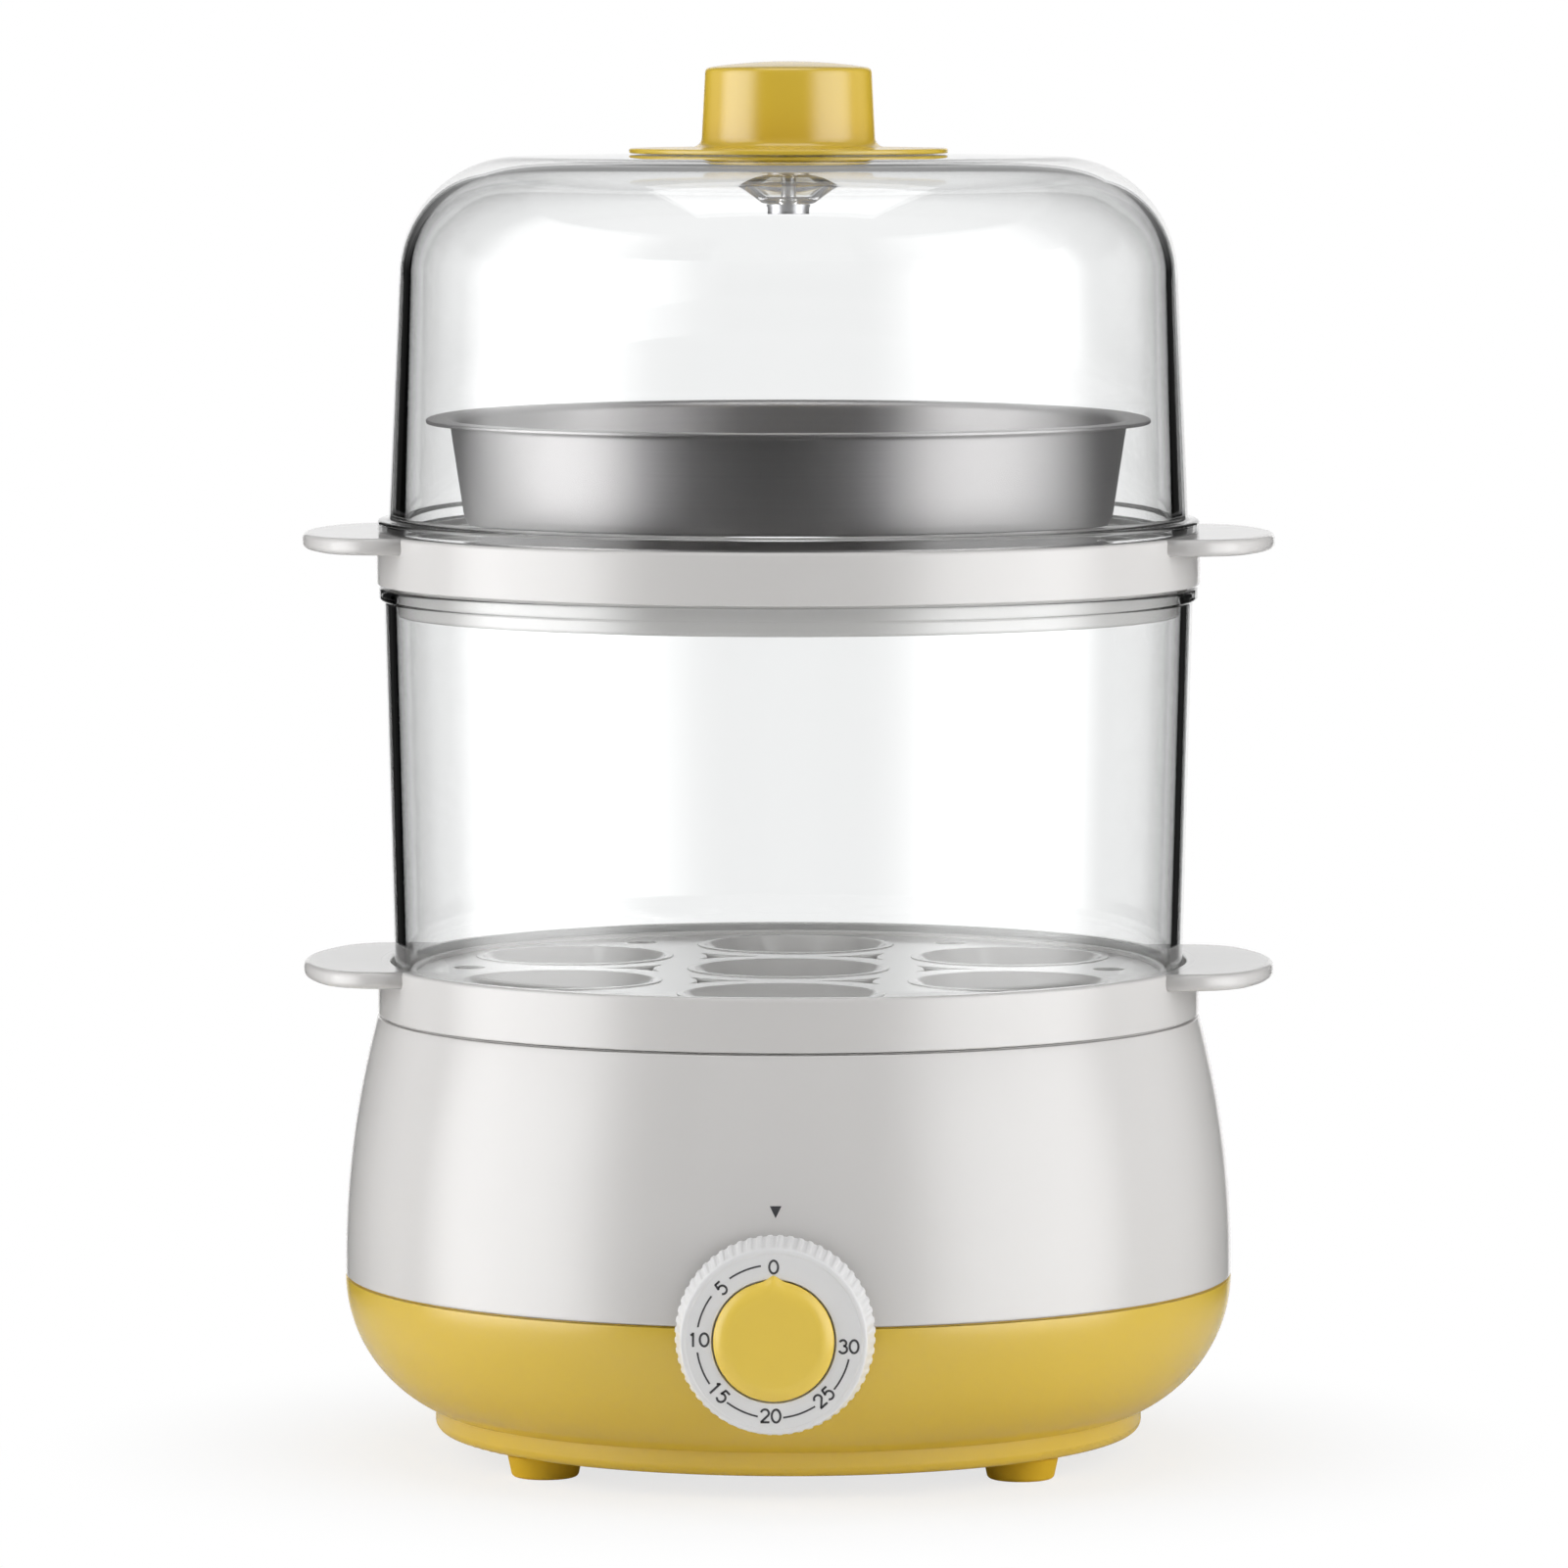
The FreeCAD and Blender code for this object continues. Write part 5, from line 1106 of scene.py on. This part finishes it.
def setting_mark():
    """Small triangle on the housing above the dial, its point down, laid on the belly's curve."""
    n = MARK_STEPS
    rows = np.linspace(0, 1, n)[:, None]
    across = np.linspace(-0.5, 0.5, n)[None, :]
    level = MARK_LEVEL + MARK_HEIGHT * (rows - 0.5) + 0 * across
    width = MARK_WIDTH * (MARK_TIP + (1 - MARK_TIP) * rows) * across
    skins = []
    for lift in (INK, -INK):
        radius = belly_radius(level) + lift
        skins.append(rings(radius, level, width / radius - np.pi / 2))
    size = n * n
    faces = sheet_faces(n, n, False, False)
    back = [[index + size for index in face[::-1]] for face in faces]
    rim = np.concatenate((np.arange(n), np.arange(2 * n - 1, size, n), np.arange(size - 2, size - n - 1, -1),
                          np.arange(size - 2 * n, 0, -n)))
    after = np.roll(rim, -1)
    sides = np.column_stack((rim, rim + size, after + size, after)).tolist()
    return outward(np.vstack(skins), faces + back + sides)


dressed("dial_moulding", "dial_knob", on_dial(dial_ring()), "dial")
put("dial_cap_moulding", on_dial(dial_cap()), CAP_PAINTED_LIGHT_FINISH, "dial", ("dial_cap",))
put("dial_figures", dial_print(), INK_FINISH, "dial", ())
put("setting_mark", setting_mark(), INK_FINISH, "base", ())

# Studio in metres: floor, lit panel, wings, softbox, room and the camera.

FLOOR_R = 0.6
FLOOR_SIDES = 96
FLOOR_COLOUR = (0.9, 0.9, 0.9, 1.0)
# The floor turns to plain white between two distances from the axis, from a share that is white already.
FLOOR_WHITE = (0.06, 0.16)
FLOOR_SHARE = 0.75
# It opens to mirrored rays between these distances.
FLOOR_OPEN = (0.12, 0.3)
PANEL_AT = 1.9
PANEL_HALF = 0.55
PANEL_FOOT = -0.4
PANEL_TOP = 0.95
SOFTBOX_HEIGHT = 1.9
SOFTBOX_SIDE = 1.2
SOFTBOX_RADIANCE = 2.0
WING_R = 1.2
WING_FOOT = -0.8
WING_TOP = 1.33
WING_START = 22.0
WING_STOP = 150.0
WING_STEPS = 61
# Each wing: its hand, its side of the object, and the middle, spread and peak of its glow.
WINGS = (("left", -1, 73.0, 28.0, 3.9), ("right", 1, 64.0, 30.0, 3.4))
# Low glow past the middle of each wing, which fades out between two angles.
WING_EDGE = 0.5
WING_FADE = (118.0, 140.0)
# Share of the glow at each level of a wing, dimmer under the floor's level and towards the top.
WING_LEVELS = (WING_FOOT, -0.3, -0.12, 0.35, 0.6, WING_TOP)
WING_SHARES = (0.55, 0.55, 1.0, 1.0, 0.7, 0.6)
# Fill light of the room, and what gloss and clear walls mirror of it: dark at eye level, paler above.
AMBIENT = 0.03
ROOM_LOW = 0.015
ROOM_HIGH = 0.3
ROOM_RISE = 0.4


def range_node(tree, value, source, target, kind="LINEAR"):
    """A value carried from one range to another and held at its ends; gives its output socket."""
    node = tree.nodes.new("ShaderNodeMapRange")
    node.interpolation_type = kind
    for label, number in zip(("From Min", "From Max", "To Min", "To Max"), (*source, *target)):
        node.inputs[label].default_value = number
    tree.links.new(value, node.inputs["Value"])
    return node.outputs[0]


def fade_node(tree, distances, start):
    """Smooth rise from a start value to 1 between two distances from the upright axis."""
    length = tree.nodes.new("ShaderNodeVectorMath")
    length.operation = "LENGTH"
    tree.links.new(object_place(tree), length.inputs[0])
    return range_node(tree, length.outputs["Value"], distances, (start, 1.0), "SMOOTHSTEP")


def mirrored_once(tree):
    """One on paths that a surface has mirrored before, such as in gloss or inside a clear wall."""
    path = tree.nodes.new("ShaderNodeLightPath")
    return math_node(tree, "MINIMUM", path.outputs["Glossy Depth"], 1.0)


def straight_only(tree, ray):
    """The ray's value, and nothing where a surface has mirrored it before."""
    return math_node(tree, "MAXIMUM", math_node(tree, "SUBTRACT", ray, mirrored_once(tree)), 0.0)


def floor_finish():
    """Pale floor: it holds the shadow near the object, is white further out and open to mirrored rays."""
    finish, tree, surface = blank_finish("studio_floor")
    matt = tree.nodes.new("ShaderNodeBsdfDiffuse")
    matt.inputs["Color"].default_value = FLOOR_COLOUR
    clear = tree.nodes.new("ShaderNodeBsdfTransparent")
    seen = straight_only(tree, ray_of(tree, "Is Camera Ray", "Is Transmission Ray"))
    white = math_node(tree, "MULTIPLY", seen, fade_node(tree, FLOOR_WHITE, FLOOR_SHARE))
    opened = math_node(tree, "MULTIPLY", mirrored_once(tree), fade_node(tree, FLOOR_OPEN, 0.0))
    shown = mix_node(tree, white, matt.outputs[0], glow_node(tree, 1.0))
    tree.links.new(mix_node(tree, opened, shown, clear.outputs[0]), surface)
    return finish


def panel_finish():
    """Plain white glow, as a lit backdrop gives."""
    finish, tree, surface = blank_finish("studio_panel")
    tree.links.new(glow_node(tree, 1.0), surface)
    return finish


def stage_mesh(name, points, faces, finish):
    """A piece of the studio, not of the object."""
    mesh = bpy.data.meshes.new(name)
    mesh.from_pydata(np.asarray(points).tolist(), [], faces)
    mesh.materials.append(finish)
    item = bpy.data.objects.new(name, mesh)
    bpy.context.scene.collection.objects.link(item)
    return item


def studio_floor():
    """Round floor under the object."""
    angle = np.linspace(0, 2 * np.pi, FLOOR_SIDES + 1)[:-1]
    stage_mesh("studio_floor", rings(FLOOR_R, 0.0, angle), [list(range(FLOOR_SIDES))], floor_finish())


def studio_panel():
    """Lit panel behind the object: gloss and clear edges mirror it, and the dark room beside it."""
    points = [(-PANEL_HALF, PANEL_AT, PANEL_FOOT), (PANEL_HALF, PANEL_AT, PANEL_FOOT),
              (PANEL_HALF, PANEL_AT, PANEL_TOP), (-PANEL_HALF, PANEL_AT, PANEL_TOP)]
    panel = stage_mesh("studio_panel", points, [[0, 1, 2, 3]], panel_finish())
    panel.visible_camera = False
    panel.visible_diffuse = False
    panel.visible_shadow = False


def attribute_node(tree, name):
    """Value of a mesh attribute."""
    node = tree.nodes.new("ShaderNodeAttribute")
    node.attribute_name = name
    return node.outputs["Fac"]


def wing_finish():
    """Glow from the wall's own attributes; a straight look through a clear piece passes it."""
    finish, tree, surface = blank_finish("studio_wings")
    finish.cycles.emission_sampling = "FRONT"
    path = tree.nodes.new("ShaderNodeLightPath")
    bent = math_node(tree, "MINIMUM", path.outputs["Transmission Depth"], 1.0)
    unbent = math_node(tree, "SUBTRACT", 1.0, bent)
    edge = math_node(tree, "MULTIPLY", attribute_node(tree, "edge"), unbent)
    light = glow_node(tree, math_node(tree, "ADD", attribute_node(tree, "glow"), edge))
    clear = tree.nodes.new("ShaderNodeBsdfTransparent")
    through = straight_only(tree, ray_of(tree, "Is Transmission Ray"))
    tree.links.new(mix_node(tree, through, light, clear.outputs[0]), surface)
    return finish


def studio_wings():
    """Softbox on each hand: an upright wall curved round the object, facing in.

    At an angle a from the camera's side its glow is peak * exp(-((a - middle) / spread) ** 4), and past the
    middle its edge makes that up to WING_EDGE and then fades; both are times the share at its level.
    """
    turn = np.linspace(WING_START, WING_STOP, WING_STEPS)
    level = np.array(WING_LEVELS)[:, None]
    fade = np.interp(turn, WING_FADE, (1.0, 0.0))
    finish = wing_finish()
    for hand, side, middle, spread, peak in WINGS:
        glow = peak * np.exp(-((turn - middle) / spread) ** 4)
        edge = np.where(turn > middle, np.maximum(WING_EDGE * fade - glow, 0), 0)
        points = rings(WING_R, level, np.radians(turn) * side - np.pi / 2)
        faces = sheet_faces(len(level), WING_STEPS, False, False)
        if side > 0:
            faces = [face[::-1] for face in faces]
        wing = stage_mesh("studio_wing_" + hand, points, faces, finish)
        for name, row in (("glow", glow), ("edge", edge)):
            values = wing.data.attributes.new(name, "FLOAT", "POINT")
            values.data.foreach_set("value", np.outer(WING_SHARES, row).ravel())
        wing.visible_camera = False


def studio_softbox():
    """Square lamp above, facing down; its power is pi times its area times its radiance."""
    lamp = bpy.data.lights.new("top_softbox", "AREA")
    lamp.shape = "SQUARE"
    lamp.size = SOFTBOX_SIDE
    lamp.energy = SOFTBOX_RADIANCE * math.pi * SOFTBOX_SIDE ** 2
    item = bpy.data.objects.new("top_softbox", lamp)
    item.location = (0, 0, SOFTBOX_HEIGHT)
    item.visible_camera = False
    bpy.context.scene.collection.objects.link(item)


def studio_room():
    """World: a faint fill light, a dim room in gloss and clear walls, and white to the camera."""
    world = bpy.data.worlds.new("studio")
    bpy.context.scene.world = world
    world.use_nodes = True
    tree = world.node_tree
    tree.nodes.clear()
    output = tree.nodes.new("ShaderNodeOutputWorld")
    aim = tree.nodes.new("ShaderNodeSeparateXYZ")
    tree.links.new(tree.nodes.new("ShaderNodeTexCoord").outputs["Generated"], aim.inputs[0])
    room = range_node(tree, aim.outputs[2], (0.0, ROOM_RISE), (ROOM_LOW, ROOM_HIGH))
    shades = []
    for strength in (AMBIENT, room, 1.0):
        shade = tree.nodes.new("ShaderNodeBackground")
        shade.inputs["Color"].default_value = (1.0, 1.0, 1.0, 1.0)
        feed(tree, strength, shade.inputs["Strength"])
        shades.append(shade.outputs[0])
    through = straight_only(tree, ray_of(tree, "Is Transmission Ray"))
    seen = math_node(tree, "MAXIMUM", ray_of(tree, "Is Camera Ray"), through)
    gloss = mix_node(tree, ray_of(tree, "Is Glossy Ray", "Is Transmission Ray"), shades[0], shades[1])
    tree.links.new(mix_node(tree, seen, gloss, shades[2]), output.inputs["Surface"])


# Camera of the photograph: its height, distance and turn, and the lens for a frame of 1601 pixels.
PHOTO = 1601
CAMERA_HEIGHT = 0.2877
CAMERA_DISTANCE = 1.96
CAMERA_TURN = 1.6
FOCAL_PIXELS = 9898
HORIZON_ROW = 33
AXIS_COLUMN = 805
SENSOR = 36.0
CLIP_START = 0.05
CLIP_END = 50.0


def camera():
    """Camera whose view centre looks down by the angle from the horizon row to the frame's middle."""
    lens = bpy.data.cameras.new("camera")
    lens.sensor_width = SENSOR
    lens.lens = FOCAL_PIXELS / PHOTO * SENSOR
    lens.clip_start = CLIP_START
    lens.clip_end = CLIP_END
    item = bpy.data.objects.new("camera", lens)
    turn = math.radians(CAMERA_TURN)
    item.location = (CAMERA_DISTANCE * math.sin(turn), -CAMERA_DISTANCE * math.cos(turn), CAMERA_HEIGHT)
    pitch = math.atan((PHOTO / 2 - HORIZON_ROW) / FOCAL_PIXELS)
    yaw = turn + math.atan((AXIS_COLUMN - PHOTO / 2) / FOCAL_PIXELS)
    item.rotation_euler = (math.pi / 2 - pitch, 0, yaw)
    bpy.context.scene.collection.objects.link(item)
    bpy.context.scene.camera = item


studio_floor()
studio_panel()
studio_wings()
studio_softbox()
studio_room()
camera()
bpy.context.scene.view_settings.view_transform = "Standard"
